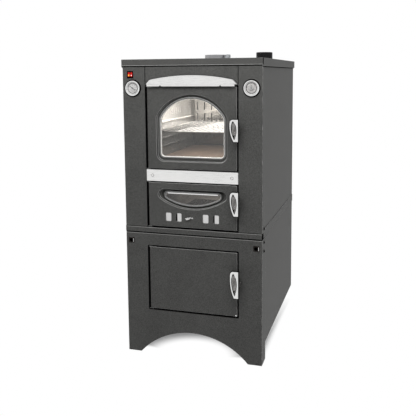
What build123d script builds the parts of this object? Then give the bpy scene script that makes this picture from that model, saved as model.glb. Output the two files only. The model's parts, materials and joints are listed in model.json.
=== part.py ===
"""Wood-fired oven on a storage cart: an indirect oven with a glazed baking door over a
glazed firebox door, a flue spigot and steam vent on top and a cart with one door below.

Millimetres. +X is to the right seen from the front, -Y is the front, +Z is up. The origin
is on the floor, in the middle of the footprint with the handles.
"""
import os
from math import cos, radians, sin, sqrt

from build123d import *

# Overall sizes
width = 700.0
depth = 950.0
cover_top = 1490.0
cart_top = 627.0
seam_gap = 4.0
tray_top = 660.0
cover_overhang = 5.0
handle_reach = 44.0

# Sheet metal and fits
casing_sheet = 2.5
frame_sheet = 4.0
door_sheet = 3.0
inner_sheet = 2.0
running_fit = 0.05
seat_fit = 0.2
axial_play = 0.4

# Cart
skirt_return = 84.0
side_lap = 20.0
cart_side_bottom = 84.0
side_flange = 20.0
arch_half = 280.0
arch_rise = 126.0
foot_depth = 25.0
storage_half = 231.0
storage_bottom = 234.0
storage_top = 562.0
stop_lip = 16.0
storage_door_gap = 4.0
storage_door_thick = 20.0
stop_gap = 3.0
socket_from_side = 28.0
socket_z = 586.0
socket_radius = 14.0
socket_wall = 2.0
socket_length = 60.0
socket_flange = 20.0

# Rear wheels
wheel_radius = 42.0
wheel_width = 28.0
wheel_from_side = 65.0
wheel_from_back = 75.0
wheel_side_gap = 1.5
wheel_dish_radius = 30.0
wheel_dish = 4.0
wheel_hub_radius = 11.0
axle_radius = 5.0
cheek = 4.0
cheek_half_depth = 20.0
cheek_drop = 12.0

# Casing above the cart
tray_inset = 8.0
tray_side_lip = 12.0
corner_slot_from = 10.0
corner_slot_to = 22.0
pilaster_x = 233.0
pilaster_return = 50.0
fascia_bottom = 1362.0
cover_front_skirt = 31.5
cover_side_skirt = 38.5
frame_from_front = 33.0
screw_from_front = 39.0
screw_heights = (567.0, 610.0, 677.0)
screw_head_radius = 4.0
screw_head = 2.0
screw_shank_radius = 2.4

# Stainless hood above the baking door
valance_half = 230.0
valance_shoulder = 208.0
valance_shoulder_z = 1391.0
valance_apex = 1413.0
valance_bottom = 1368.0
valance_reach = 16.0
valance_top_reach = 5.0
valance_round = 16.0
lip_half = 219.0
lip_bottom = 1359.0
notch_x = 150.0
notch_width = 8.0
notch_height = 4.0

# Stainless band between the doors
band_half = 232.0
band_bottom = 894.0
band_top = 951.0
band_proud = 1.0
band_screw_x = 202.0
band_screw_radius = 5.0

# Doors
door_half = 226.5
oven_door_bottom = 957.0
oven_door_top = 1356.0
fire_door_bottom = 667.0
fire_door_top = 887.0
door_edge_radius = 1.2
door_thick = 22.0
liner_inset = 3.5
liner_sheet = 3.0
seal_gap = 0.3
hinge_inset = 7.5
hinge_setback = 8.0
hinge_pin_radius = 3.0
hinge_pin_reach = 14.0
hinge_plate = 2.4
hinge_plate_reach = 8.0
hinge_boss = 12.0

# Windows: outer edge of the pressed dish, then the glass seen inside it
window_depth = 18.0
dish_sheet = 2.0
bead_width = 7.5
bead_height = 5.0
glass_sheet = 4.0
glass_lap = 9.0
glass_rim = 3.0
window_arc_centre = 1119.0
window_half = 178.0
window_arc = 201.0
window_bottom = 993.0
window_corner = 38.0
glass_half = 160.5
glass_arc = 181.0
glass_bottom = 1015.0
glass_corner = 18.0
fire_window_half = 175.0
fire_window_top = 855.0
fire_window_bottom = 758.0
fire_window_corner = 27.0
fire_glass_half = 142.0
fire_glass_top = 840.0
fire_glass_bottom = 776.0
fire_glass_corner = 16.0

# Door seals
gasket_half = 204.0
gasket_width = 12.0
gasket_from_door = 15.0
gasket_corner = 20.0
rim_half = 184.0
rim_width = 3.0
rim_from_door = 5.0

# Air vents in the firebox door and the shutter behind them
vent_x = (-122.0, -69.0, 69.0, 122.0)
vent_z = 716.0
vent_width = 28.5
vent_height = 42.0
vent_corner = 6.0
shutter_sheet = 2.0
shutter_margin = 5.0
shutter_gap = 0.3
shutter_open = 20.0
shutter_close = 7.0
shutter_wide = 24.0
shutter_narrow = 20.0
shutter_lap = 0.5
guide_depth = 6.0
guide_width = 5.0
guide_lip = 3.0
tab_x = -18.0
tab_width = 30.0
tab_height = 17.0
tab_reach = 12.0
tab_sheet = 4.0
tab_pin_radius = 2.5
tab_slot_play = 0.5

# Handles with their latches
oven_handle_z = 1150.0
fire_handle_z = 800.0
storage_handle_z = 404.0
handle_right = 243.0
handle_width = 43.0
# How far each grip reaches below and above its lever's middle
oven_grip = (49.0, 56.0)
fire_grip = (53.0, 62.0)
storage_grip = (59.0, 74.0)
handle_plate = 12.0
handle_foot = 22.0
handle_drop_share = 0.7
handle_corner = 15.0
handle_toe = 5.0
handle_rim = 4.0
handle_recess = 3.0
handle_rib = 2.4
handle_rib_height = 1.8
handle_ribs = 3
lever_axis_reach = 20.0
lever_pin_radius = 3.0
lever_hub_radius = 7.0
lever_hub_half = 18.0
lever_web_half = 6.0
ear_sheet = 4.0
tongue_length = 12.0
tongue_near = 6.0
tongue_far = 12.0
tongue_half_height = 10.0
keeper_inset = 2.8
keeper_half_height = 12.0
keeper_reach = 12.0
latch_gap = 0.8

# Baking chamber and what is in it
chamber_half = 228.0
chamber_floor = 970.0
chamber_roof = 1332.0
mouth_half = 185.0
mouth_bottom = 992.0
mouth_top = 1322.0
hearth_thick = 20.0
hearth_joint = 1.0
hearth_margin = 3.0
shelf_z = 1128.0
ledge_pitch = 42.0
ledges_below = 2
ledges_above = 1
ledge_width = 14.0
guide_sheet = 1.5
guide_start = 30.0
guide_from_wall = 43.0
guide_top = 1275.0
guide_bottom = 1015.0
guide_slots = 7
guide_slot_pitch = 33.0
guide_slot_width = 7.0
guide_slot_height = 34.0
guide_slot_z = 1218.0
guide_slot_from_front = 402.0
shelf_frame_radius = 3.5
shelf_wire_radius = 2.0
shelf_wire_count = 15
shelf_start = 40.0
shelf_from_wall = 58.0

# Fan at the back of the chamber
fan_z = 1160.0
fan_cover_gap = 45.0
fan_cover_half = 212.0
fan_cover_bottom = 998.0
fan_cover_top = 1318.0
fan_slot_x = (110.0, 154.0, 198.0)
fan_slot_pitch = 66.5
fan_slot_width = 8.0
fan_slot_height = 48.0
intake_ring_pitch = 14.0
intake_rings = 4
intake_hole_radius = 4.5
impeller_radius = 75.0
impeller_disc = 2.0
impeller_blades = 8
impeller_blade_width = 28.0
impeller_hub_radius = 12.0
impeller_wall_gap = 8.0
shaft_radius = 4.0
shaft_clearance = 2.0
motor_radius = 38.0
motor_length = 58.0
motor_gap = 7.5
motor_plate_half = 55.0
motor_plate = 3.0
motor_leg_radius = 4.0
motor_leg_spacing = 80.0
motor_bore_depth = 30.0

# Lamp in the chamber's right wall
lamp_z = 1302.0
lamp_from_front = 420.0
lamp_radius = 14.0
lamp_dome_radius = 15.0

# Smoke jacket, insulation and flue
jacket_gap = 36.0
jacket_bottom = 928.0
jacket_top = 1374.0
jacket_back_gap = 28.0
jacket_throat_half = 180.0
jacket_throat_from = 33.0
jacket_throat_to = 493.0
bearer_width = 12.0
bearer_length = 60.0
bearer_from_axis = 206.0
insulation_start = 60.0
insulation_bottom = 930.0
insulation_top_gap = 40.0
insulation_back = 65.0
insulation_gap = 1.0
flue_from_front = 460.0
flue_radius = 62.0
flue_wall = 1.5
duct_step = 1.0
collar_rise = 30.0
collar_flange_radius = 74.0
collar_flange = 2.0
damper_housing_height = 20.0
damper_plate_radius = 57.0
damper_play = 1.0
damper_sheet = 3.0
damper_arm_half = 10.0
damper_pivot = (75.5, -40.0)
damper_hub_radius = 9.0
damper_spindle_radius = 4.0
damper_wall_gap = 4.0
knob_radius = 14.0
knob_lift = 10.0
knob_height = 21.0
knob_edge = 4.0

# Steam vent with its turning cap
vent_cap_x = 207.0
vent_from_wall = 25.0
vent_pipe_radius = 18.0
vent_cutout_radius = 38.0
vent_flange_radius = 52.0
vent_flange = 3.0
vent_neck_radius = 43.0
vent_cap_radius = 47.5
vent_cap_rise = 51.0
vent_cap_roof = 5.0
vent_window_angles = (45.0, 135.0)
vent_cap_turn = 45.0
vent_window_width = 24.0
vent_window_cut = 26.0
vent_window_rise = 16.0
vent_window_height = 18.0

# Firebox
firebox_half = 200.0
firebox_depth = 523.0
firebox_sheet = 3.0
fire_mouth_half = 165.0
fire_mouth_bottom = 680.0
fire_mouth_top = 862.0
brick_thick = 30.0
brick_floor_top = 726.0
brick_top = 905.0
brick_joint = 1.0
side_bricks = 3
back_bricks = 2
pit_half = 105.0
pit_depth = 362.0
grate_thick = 12.0
grate_ledge = 10.0
grate_bars = 9
grate_slot = 14.0
grate_border = 16.0
ash_pan_half = 100.0
ash_pan_length = 350.0
ash_pan_height = 32.0
ash_pan_sheet = 1.5

# Gauges and switches on the pilasters
gauge_share = 0.547
gauge_z = 1350.0
gauge_radius = 37.5
gauge_reach = 10.0
gauge_can_radius = 32.0
gauge_can_depth = 22.0
gauge_face_depth = 6.0
gauge_post_radius = 1.5
needle_length = 27.0
needle_tail = 9.0
needle_width = 3.0
needle_sheet = 1.0
needle_angle = 135.0
needle_lift = 1.0
needle_hub_radius = 4.0
timer_knob_radius = 9.0
timer_knob_height = 7.0
timer_post_radius = 2.0
timer_post_reach = 3.5
timer_pointer_length = 14.0
timer_pointer_width = 3.0
switch_from_side = 39.5
switch_z = 1416.5
switch_plate_half_width = 15.5
switch_plate_half_height = 17.0
switch_plate = 2.0
switch_body_depth = 18.0
rocker_pitch = 13.5
rocker_half_width = 5.6
rocker_radius = 13.0
rocker_gap = 0.4
rocker_axis_depth = 3.0
rocker_half_depth = 6.0
rocker_relief = 3.0
rocker_tilt = 7.0
rocker_pin_radius = 1.5
rocker_pin_reach = 0.6

# Power inlet on the rear panel
inlet_x = -250.0
inlet_z = 720.0
inlet_half_width = 25.0
inlet_half_height = 16.0
inlet_flange = 2.5
inlet_body_half_width = 21.0
inlet_body_half_height = 12.5
inlet_depth = 26.0
inlet_socket_half_width = 13.0
inlet_socket_half_height = 8.0
inlet_socket_depth = 16.0
inlet_pin_pitch = 7.0
inlet_pin_half = 1.0
inlet_pin_half_height = 2.5
louvre_rows = 7
louvre_pitch = 14.0
louvre_width = 120.0
louvre_height = 5.0

# Places worked out from the sizes above
half = width / 2
socket_x = half - socket_from_side
wheel_x = half - wheel_from_side
gauge_x = pilaster_x + (half - pilaster_x) * gauge_share
switch_x = switch_from_side - half
front = -(depth + handle_reach + cover_overhang) / 2 + handle_reach
back = front + depth
case_top = cover_top - casing_sheet
side_outer = half - casing_sheet
side_inner = side_outer - casing_sheet
frame_front = front + frame_from_front
frame_back = frame_front + frame_sheet
tray_bottom = cart_top + seam_gap
hinge_x = -door_half + hinge_inset
hinge_y = front + hinge_setback
keeper_face = pilaster_x + keeper_inset
lever_x = keeper_face - latch_gap - tongue_length
lever_y = front - lever_axis_reach
glass_front = front + window_depth
liner_front = front + door_thick
liner_back = liner_front + liner_sheet
seal_back = frame_front - seal_gap
storage_door_half = storage_half - storage_door_gap
storage_door_bottom = storage_bottom + storage_door_gap
storage_door_top = storage_top - storage_door_gap
storage_stop = front + storage_door_thick + stop_gap
floor_top = storage_bottom - casing_sheet
floor_bottom = floor_top - casing_sheet
wheel_y = back - wheel_from_back
motor_front = back - casing_sheet - motor_gap - motor_length
jacket_back = motor_front - insulation_back
chamber_back = jacket_back - inner_sheet - jacket_back_gap - inner_sheet
chamber_depth = chamber_back - frame_back
flue_y = front + flue_from_front
duct_radius = flue_radius - duct_step
pipe_y = chamber_back - vent_from_wall
fan_cover_y = chamber_back - fan_cover_gap
damper_x = damper_pivot[0]
damper_y = flue_y + damper_pivot[1]
damper_arm = sqrt(damper_pivot[0] ** 2 + damper_pivot[1] ** 2)
housing_bottom = case_top - damper_housing_height - inner_sheet
jacket_half = chamber_half + jacket_gap
insulation_top = cover_top - insulation_top_gap
collar_top = cover_top + collar_rise
knob_bottom = cover_top + knob_lift
knob_top = knob_bottom + knob_height
vent_cap_top = cover_top + vent_cap_rise
vent_window_bottom = cover_top + vent_window_rise
vent_window_top = vent_window_bottom + vent_window_height
firebox_back = frame_back + firebox_depth
board_top = fire_mouth_bottom - firebox_sheet
shelf_rest = shelf_z + guide_sheet
rocker_y = front + rocker_axis_depth


def facing(y):
    """Plane parallel to the front, at depth y: sketch x is X and sketch y is Z."""
    return Plane.XZ.offset(-y)


def block(x, y, z, mode=Mode.ADD):
    """Box between the low and high limits given along each axis."""
    with Locations(((x[0] + x[1]) / 2, (y[0] + y[1]) / 2, (z[0] + z[1]) / 2)):
        Box(x[1] - x[0], y[1] - y[0], z[1] - z[0], mode=mode)


def rod(x, z, y, radius, mode=Mode.ADD):
    """Round bar along Y at (x, z) between two depths."""
    with Locations(Location((x, (y[0] + y[1]) / 2, z), (90, 0, 0))):
        Cylinder(radius, y[1] - y[0], mode=mode)


def crossbar(y, z, x, radius, mode=Mode.ADD):
    """Round bar along X at (y, z) between two sides."""
    with Locations(Location(((x[0] + x[1]) / 2, y, z), (0, 90, 0))):
        Cylinder(radius, x[1] - x[0], mode=mode)


def post(x, y, z, radius, mode=Mode.ADD):
    """Upright round bar at (x, y) between two heights."""
    with Locations((x, y, (z[0] + z[1]) / 2)):
        Cylinder(radius, z[1] - z[0], mode=mode)


def both_sides(side, near, far):
    """Limits along X on the left (side -1) or right (side 1)."""
    return tuple(sorted((side * near, side * far)))


def spread(count, pitch):
    """Places of a centred row."""
    return [(i - (count - 1) / 2) * pitch for i in range(count)]


def save(piece, name):
    """Labels a finished piece and writes its file."""
    piece.part.label = name
    export_step(piece.part, f"parts/{name}.step")


os.makedirs("parts", exist_ok=True)


# Outlines seen from the front

def arched_outline(half_width, bottom, arc, corner):
    """Window outline with straight sides, a round top and round lower corners."""
    spring = window_arc_centre + sqrt(arc**2 - half_width**2)
    with BuildSketch() as outline:
        with BuildLine():
            Polyline(
                (-half_width, spring),
                (-half_width, bottom),
                (half_width, bottom),
                (half_width, spring),
            )
            ThreePointArc((half_width, spring), (0, window_arc_centre + arc), (-half_width, spring))
        make_face()
        fillet(outline.vertices().group_by(Axis.Y)[0], corner)
    return outline.sketch


def moon_outline(half_width, top, bottom, corner):
    """Half-moon outline: straight top, round corners reaching the half width, round belly."""
    height = top - bottom
    belly = ((half_width - corner) ** 2 / (height - 2 * corner) + height) / 2
    chord = sqrt(belly**2 - (belly - height) ** 2)
    with BuildSketch() as outline:
        with BuildLine():
            Line((-chord, top), (chord, top))
            ThreePointArc((chord, top), (0, bottom), (-chord, top))
        make_face()
        fillet(outline.vertices(), corner)
    return outline.sketch


def box_outline(half_width, bottom, top, corner):
    """Upright rectangle with round corners."""
    with BuildSketch() as outline:
        with Locations((0, (bottom + top) / 2)):
            RectangleRounded(2 * half_width, top - bottom, corner)
    return outline.sketch


def handle_outline(centre, grip):
    """Handle seen from the front: straight right edge, left edge curving in to a narrow foot."""
    left = handle_right - handle_width
    high = centre + grip[1]
    low = centre - grip[0]
    foot = (handle_right - handle_foot, low)
    shoulder = (left, low + handle_drop_share * (high - low))
    with BuildSketch() as outline:
        with BuildLine():
            Polyline(shoulder, (left, high), (handle_right, high), (handle_right, low), foot)
            TangentArc(shoulder, foot, tangent=(0, -1))
        make_face()
        fillet(outline.vertices().group_by(Axis.X)[0].sort_by(Axis.Y)[-1], handle_corner)
        fillet(outline.vertices().sort_by_distance(Vector(*foot))[0], handle_toe)
    return outline.sketch


def grown(outline, amount):
    """The same outline made larger or smaller all round."""
    with BuildSketch() as result:
        add(outline)
        offset(amount=amount)
    return result.sketch


window_outline = arched_outline(window_half, window_bottom, window_arc, window_corner)
glass_outline = arched_outline(glass_half, glass_bottom, glass_arc, glass_corner)
fire_window_outline = moon_outline(
    fire_window_half, fire_window_top, fire_window_bottom, fire_window_corner
)
fire_glass_outline = moon_outline(fire_glass_half, fire_glass_top, fire_glass_bottom, fire_glass_corner)


# Cart

arch_radius = (arch_half**2 + arch_rise**2) / (2 * arch_rise)
lip_back = storage_stop + casing_sheet

with BuildPart() as cart_front:
    block((-half, half), (front, front + skirt_return), (0, cart_top))
    block(
        (-side_outer, side_outer),
        (front + casing_sheet, front + skirt_return),
        (0, cart_top),
        mode=Mode.SUBTRACT,
    )
    block(
        (-storage_half - casing_sheet, storage_half + casing_sheet),
        (front + casing_sheet, lip_back),
        (storage_bottom - casing_sheet, storage_top + casing_sheet),
    )
    block(
        (-storage_half, storage_half),
        (front, storage_stop),
        (storage_bottom, storage_top),
        mode=Mode.SUBTRACT,
    )
    block(
        (-storage_half + stop_lip, storage_half - stop_lip),
        (storage_stop, lip_back),
        (storage_bottom + stop_lip, storage_top - stop_lip),
        mode=Mode.SUBTRACT,
    )
    for side in (-1, 1):
        block(both_sides(side, arch_half, side_outer), (front, front + foot_depth), (0, casing_sheet))
        for height in screw_heights[:2]:
            crossbar(
                front + screw_from_front,
                height,
                both_sides(side, side_outer, half),
                screw_shank_radius + seat_fit,
                mode=Mode.SUBTRACT,
            )
    with BuildSketch(facing(front)):
        with Locations((0, arch_rise - arch_radius)):
            Circle(arch_radius)
        with Locations((-socket_x, socket_z), (socket_x, socket_z)):
            Circle(socket_radius + seat_fit)
    extrude(amount=-casing_sheet, mode=Mode.SUBTRACT)
save(cart_front, "cart_front")

with BuildPart() as cart_sides:
    block((side_inner, side_outer), (front + skirt_return - side_lap, back), (cart_side_bottom, cart_top))
    block(
        (side_inner - side_flange, side_inner),
        (front + skirt_return - side_lap, back),
        (cart_top - casing_sheet, cart_top),
    )
    mirror(about=Plane.YZ)
save(cart_sides, "cart_sides")

with BuildPart() as cart_back:
    block(
        (-side_inner, side_inner),
        (back - casing_sheet, back),
        (cart_side_bottom, cart_top - casing_sheet),
    )
save(cart_back, "cart_back")

with BuildPart() as cart_floor:
    block((-side_inner, side_inner), (front + casing_sheet, back - casing_sheet), (floor_bottom, floor_top))
save(cart_floor, "cart_floor")

with BuildPart() as lifting_sockets:
    for side in (-1, 1):
        rod(side * socket_x, socket_z, (front, front + socket_length), socket_radius)
        rod(
            side * socket_x,
            socket_z,
            (front + casing_sheet, front + casing_sheet + socket_wall),
            socket_flange,
        )
        rod(
            side * socket_x,
            socket_z,
            (front, front + socket_length - socket_wall),
            socket_radius - socket_wall,
            mode=Mode.SUBTRACT,
        )
save(lifting_sockets, "lifting_sockets")

cheek_inner = wheel_width / 2 + wheel_side_gap
cheek_outer = cheek_inner + cheek

with BuildPart() as wheel_brackets:
    for side in (-1, 1):
        block(
            (side * wheel_x - cheek_outer, side * wheel_x + cheek_outer),
            (wheel_y - wheel_radius, wheel_y + wheel_radius),
            (floor_bottom - cheek, floor_bottom),
        )
        for edge in (-1, 1):
            wall = both_sides(edge, cheek_inner, cheek_outer)
            block(
                (side * wheel_x + wall[0], side * wheel_x + wall[1]),
                (wheel_y - cheek_half_depth, wheel_y + cheek_half_depth),
                (wheel_radius - cheek_drop, floor_bottom - cheek),
            )
        crossbar(
            wheel_y,
            wheel_radius,
            (side * wheel_x - cheek_outer, side * wheel_x + cheek_outer),
            axle_radius,
        )
save(wheel_brackets, "wheel_brackets")


def rear_wheel(centre):
    """Wheel with a recessed face on each side and a plain bore."""
    reach = wheel_width / 2
    with BuildPart() as wheel:
        crossbar(wheel_y, wheel_radius, (centre - reach, centre + reach), wheel_radius)
        for edge in (-1, 1):
            face = both_sides(edge, reach - wheel_dish, reach)
            crossbar(
                wheel_y,
                wheel_radius,
                (centre + face[0], centre + face[1]),
                wheel_dish_radius,
                mode=Mode.SUBTRACT,
            )
            crossbar(wheel_y, wheel_radius, (centre + face[0], centre + face[1]), wheel_hub_radius)
        crossbar(
            wheel_y,
            wheel_radius,
            (centre - reach, centre + reach),
            axle_radius + running_fit,
            mode=Mode.SUBTRACT,
        )
    return wheel


save(rear_wheel(-wheel_x), "rear_wheel_left")
save(rear_wheel(wheel_x), "rear_wheel_right")


# Casing

with BuildPart() as base_tray:
    block((-half, half), (front, back), (tray_bottom, tray_top))
    block(
        (-side_outer, side_outer),
        (front + casing_sheet, back - casing_sheet),
        (tray_bottom, tray_top - casing_sheet),
        mode=Mode.SUBTRACT,
    )
    block(
        (-half + tray_inset, half - tray_inset),
        (front + tray_inset, back - tray_inset),
        (cart_top, tray_top - casing_sheet),
    )
    block(
        (-half + tray_inset + casing_sheet, half - tray_inset - casing_sheet),
        (front + tray_inset + casing_sheet, back - tray_inset - casing_sheet),
        (cart_top, tray_top - casing_sheet),
        mode=Mode.SUBTRACT,
    )
    for side in (-1, 1):
        block(
            both_sides(side, side_outer, half),
            (front + pilaster_return, back),
            (tray_top, tray_top + tray_side_lip),
        )
        block(
            both_sides(side, side_outer, half),
            (front + corner_slot_from, front + corner_slot_to),
            (tray_bottom, tray_top),
            mode=Mode.SUBTRACT,
        )
save(base_tray, "base_tray")


def pilaster(side):
    """Folded front upright with the round gauge hole and the screw hole in its return."""
    with BuildPart() as shell:
        block(both_sides(side, pilaster_x, half), (front, front + casing_sheet), (tray_top, case_top))
        block(
            both_sides(side, side_outer, half),
            (front + casing_sheet, front + pilaster_return),
            (tray_top, case_top),
        )
        block(
            both_sides(side, pilaster_x, pilaster_x + casing_sheet),
            (front + casing_sheet, frame_front),
            (tray_top, case_top),
        )
        rod(
            side * gauge_x,
            gauge_z,
            (front, front + casing_sheet),
            gauge_can_radius + seat_fit,
            mode=Mode.SUBTRACT,
        )
        crossbar(
            front + screw_from_front,
            screw_heights[2],
            both_sides(side, side_outer, half),
            screw_shank_radius + seat_fit,
            mode=Mode.SUBTRACT,
        )
    return shell


switch_body_half_width = switch_plate_half_width - switch_plate
switch_body_half_height = switch_plate_half_height - switch_plate
left_pilaster = pilaster(-1)
right_pilaster = pilaster(1)

with BuildPart() as pilasters:
    add(left_pilaster.part)
    add(right_pilaster.part)
    block(
        (switch_x - switch_body_half_width - seat_fit, switch_x + switch_body_half_width + seat_fit),
        (front, front + casing_sheet),
        (switch_z - switch_body_half_height - seat_fit, switch_z + switch_body_half_height + seat_fit),
        mode=Mode.SUBTRACT,
    )
save(pilasters, "pilasters")

with BuildPart() as top_fascia:
    block((-pilaster_x, pilaster_x), (front, front + casing_sheet), (fascia_bottom, case_top))
    block(
        (-pilaster_x, pilaster_x),
        (front + casing_sheet, frame_front),
        (fascia_bottom, fascia_bottom + casing_sheet),
    )
save(top_fascia, "top_fascia")

with BuildPart() as top_cover:
    block(
        (-half - cover_overhang, half + cover_overhang),
        (front - cover_overhang, back + cover_overhang),
        (cover_top - cover_side_skirt, cover_top),
    )
    fillet(
        top_cover.faces().sort_by(Axis.Z)[-1].edges() + top_cover.edges().filter_by(Axis.Z),
        casing_sheet,
    )
    block(
        (-half - cover_overhang + casing_sheet, half + cover_overhang - casing_sheet),
        (front - cover_overhang + casing_sheet, back + cover_overhang - casing_sheet),
        (cover_top - cover_side_skirt, case_top),
        mode=Mode.SUBTRACT,
    )
    block(
        (-half, half),
        (front - cover_overhang, front - cover_overhang + casing_sheet),
        (cover_top - cover_side_skirt, cover_top - cover_front_skirt),
        mode=Mode.SUBTRACT,
    )
    post(0, flue_y, (case_top, cover_top), flue_radius + seat_fit, mode=Mode.SUBTRACT)
    post(
        damper_x,
        damper_y,
        (case_top, cover_top),
        damper_spindle_radius + shaft_clearance,
        mode=Mode.SUBTRACT,
    )
    post(vent_cap_x, pipe_y, (case_top, cover_top), vent_cutout_radius, mode=Mode.SUBTRACT)
save(top_cover, "top_cover")


with BuildPart() as side_panels:
    block((side_inner, side_outer), (front + pilaster_return - side_lap, back), (tray_top, case_top))
    mirror(about=Plane.YZ)
save(side_panels, "side_panels")

with BuildPart() as rear_panel:
    block((-side_inner, side_inner), (back - casing_sheet, back), (tray_top, case_top))
    with BuildSketch(facing(back - casing_sheet)):
        with Locations((0, fan_z)):
            with GridLocations(1, louvre_pitch, 1, louvre_rows):
                SlotOverall(louvre_width, louvre_height)
        with Locations((inlet_x, inlet_z)):
            Rectangle(
                2 * (inlet_body_half_width + seat_fit),
                2 * (inlet_body_half_height + seat_fit),
            )
    extrude(amount=-casing_sheet, mode=Mode.SUBTRACT)
save(rear_panel, "rear_panel")

with BuildPart() as face_frame:
    block((-side_inner, side_inner), (frame_front, frame_back), (tray_top, case_top))
    block(
        (-mouth_half, mouth_half),
        (frame_front, frame_back),
        (mouth_bottom, mouth_top),
        mode=Mode.SUBTRACT,
    )
    block(
        (-fire_mouth_half, fire_mouth_half),
        (frame_front, frame_back),
        (fire_mouth_bottom, fire_mouth_top),
        mode=Mode.SUBTRACT,
    )
save(face_frame, "face_frame")


# Stainless trim

def valance_shape(inset, slant):
    """Solid behind the hood's slanted front, its outline drawn in by inset."""
    with BuildSketch() as outline:
        with BuildLine():
            Polyline(
                (-valance_shoulder, valance_shoulder_z),
                (-valance_half, valance_bottom),
                (valance_half, valance_bottom),
                (valance_shoulder, valance_shoulder_z),
            )
            ThreePointArc(
                (valance_shoulder, valance_shoulder_z),
                (0, valance_apex),
                (-valance_shoulder, valance_shoulder_z),
            )
        make_face()
        fillet(outline.vertices().group_by(Axis.Y)[-1], valance_round)
        offset(amount=-inset)
    with BuildPart() as hood:
        with BuildSketch(facing(front)):
            add(outline.sketch)
        extrude(amount=valance_reach)
        split(bisect_by=slant, keep=Keep.BOTTOM)
    return hood.part


slant_rise = valance_apex - valance_bottom
slant_run = valance_reach - valance_top_reach
slant_normal = Vector(0, -slant_rise, slant_run).normalized()
slant_outer = Plane(origin=(0, front - valance_reach, valance_bottom), x_dir=(1, 0, 0), z_dir=slant_normal)
valance_solid = valance_shape(0, slant_outer)
valance_hollow = valance_shape(inner_sheet, slant_outer.offset(-inner_sheet))

with BuildPart() as valance:
    add(valance_solid)
    add(valance_hollow, mode=Mode.SUBTRACT)
    block(
        (-lip_half, lip_half),
        (front - valance_reach, front - valance_reach + inner_sheet),
        (lip_bottom, valance_bottom + inner_sheet),
    )
    for x in (-notch_x, notch_x):
        block(
            (x - notch_width / 2, x + notch_width / 2),
            (front - valance_reach, front - valance_reach + inner_sheet),
            (lip_bottom, lip_bottom + notch_height),
            mode=Mode.SUBTRACT,
        )
save(valance, "valance")

band_front = front - band_proud

with BuildPart() as trim_band:
    block((-band_half, band_half), (band_front, frame_front), (band_bottom, band_top))
    block(
        (-band_half, band_half),
        (band_front + inner_sheet, frame_front),
        (band_bottom + inner_sheet, band_top - inner_sheet),
        mode=Mode.SUBTRACT,
    )
    for x in (-band_screw_x, band_screw_x):
        rod(
            x,
            (band_bottom + band_top) / 2,
            (band_front, band_front + inner_sheet),
            screw_shank_radius + seat_fit,
            mode=Mode.SUBTRACT,
        )
save(trim_band, "trim_band")

with BuildPart() as screws:
    for side in (-1, 1):
        for height in screw_heights:
            depth_in = front + screw_from_front
            crossbar(depth_in, height, both_sides(side, half, half + screw_head), screw_head_radius)
            crossbar(depth_in, height, both_sides(side, side_outer, half), screw_shank_radius)
        centre = (band_bottom + band_top) / 2
        rod(side * band_screw_x, centre, (band_front - screw_head, band_front), band_screw_radius)
        rod(side * band_screw_x, centre, (band_front, band_front + inner_sheet), screw_shank_radius)
save(screws, "screws")


# Hinges and keepers

hinge_gaps = (
    (fascia_bottom + oven_door_top, -1),
    (band_top + oven_door_bottom, 1),
    (band_bottom + fire_door_top, -1),
    (tray_top + fire_door_bottom, 1),
    (storage_top + storage_door_top, -1),
    (storage_bottom + storage_door_bottom, 1),
)

with BuildPart() as hinge_brackets:
    for gap_sum, towards_door in hinge_gaps:
        middle = gap_sum / 2
        on_cart = middle < cart_top
        wall = -storage_half if on_cart else -pilaster_x
        rear = storage_stop if on_cart else frame_front
        block(
            (wall, hinge_x + hinge_plate_reach),
            (front + door_edge_radius, rear),
            (middle - hinge_plate / 2, middle + hinge_plate / 2),
        )
        tip = middle + towards_door * hinge_pin_reach
        post(hinge_x, hinge_y, tuple(sorted((middle, tip))), hinge_pin_radius)
save(hinge_brackets, "hinge_brackets")

with BuildPart() as latch_keepers:
    for centre in (oven_handle_z, fire_handle_z, storage_handle_z):
        block(
            (keeper_face, handle_right),
            (front - keeper_reach, front),
            (centre - keeper_half_height, centre + keeper_half_height),
        )
save(latch_keepers, "latch_keepers")


# Doors

def door_pan(half_width, bottom, top, thick, handle_z):
    """Door sheet with folded edges, pivot blocks for its hinge pins and the latch ears."""
    with BuildPart() as pan:
        block((-half_width, half_width), (front, front + thick), (bottom, top))
        fillet(pan.faces().sort_by(Axis.Y)[0].edges(), door_edge_radius)
        block(
            (-half_width + door_sheet, half_width - door_sheet),
            (front + door_sheet, front + thick),
            (bottom + door_sheet, top - door_sheet),
            mode=Mode.SUBTRACT,
        )
        for edge, inward in ((bottom, 1), (top, -1)):
            near = edge + inward * door_sheet
            block(
                (-half_width + door_sheet, hinge_x + hinge_plate_reach),
                (front + door_sheet, front + thick),
                tuple(sorted((near, near + inward * hinge_boss))),
            )
            post(
                hinge_x,
                hinge_y,
                tuple(sorted((edge, near + inward * hinge_boss))),
                hinge_pin_radius + running_fit,
                mode=Mode.SUBTRACT,
            )
        for way in (-1, 1):
            near = handle_z + way * (lever_hub_half + axial_play)
            ear = tuple(sorted((near, near + way * ear_sheet)))
            block((lever_x - lever_hub_radius, lever_x + lever_web_half), (lever_y, front), ear)
            post(lever_x, lever_y, ear, lever_hub_radius)
        pin_half = lever_hub_half + axial_play + ear_sheet
        post(lever_x, lever_y, (handle_z - pin_half, handle_z + pin_half), lever_pin_radius)
    return pan.part


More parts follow.
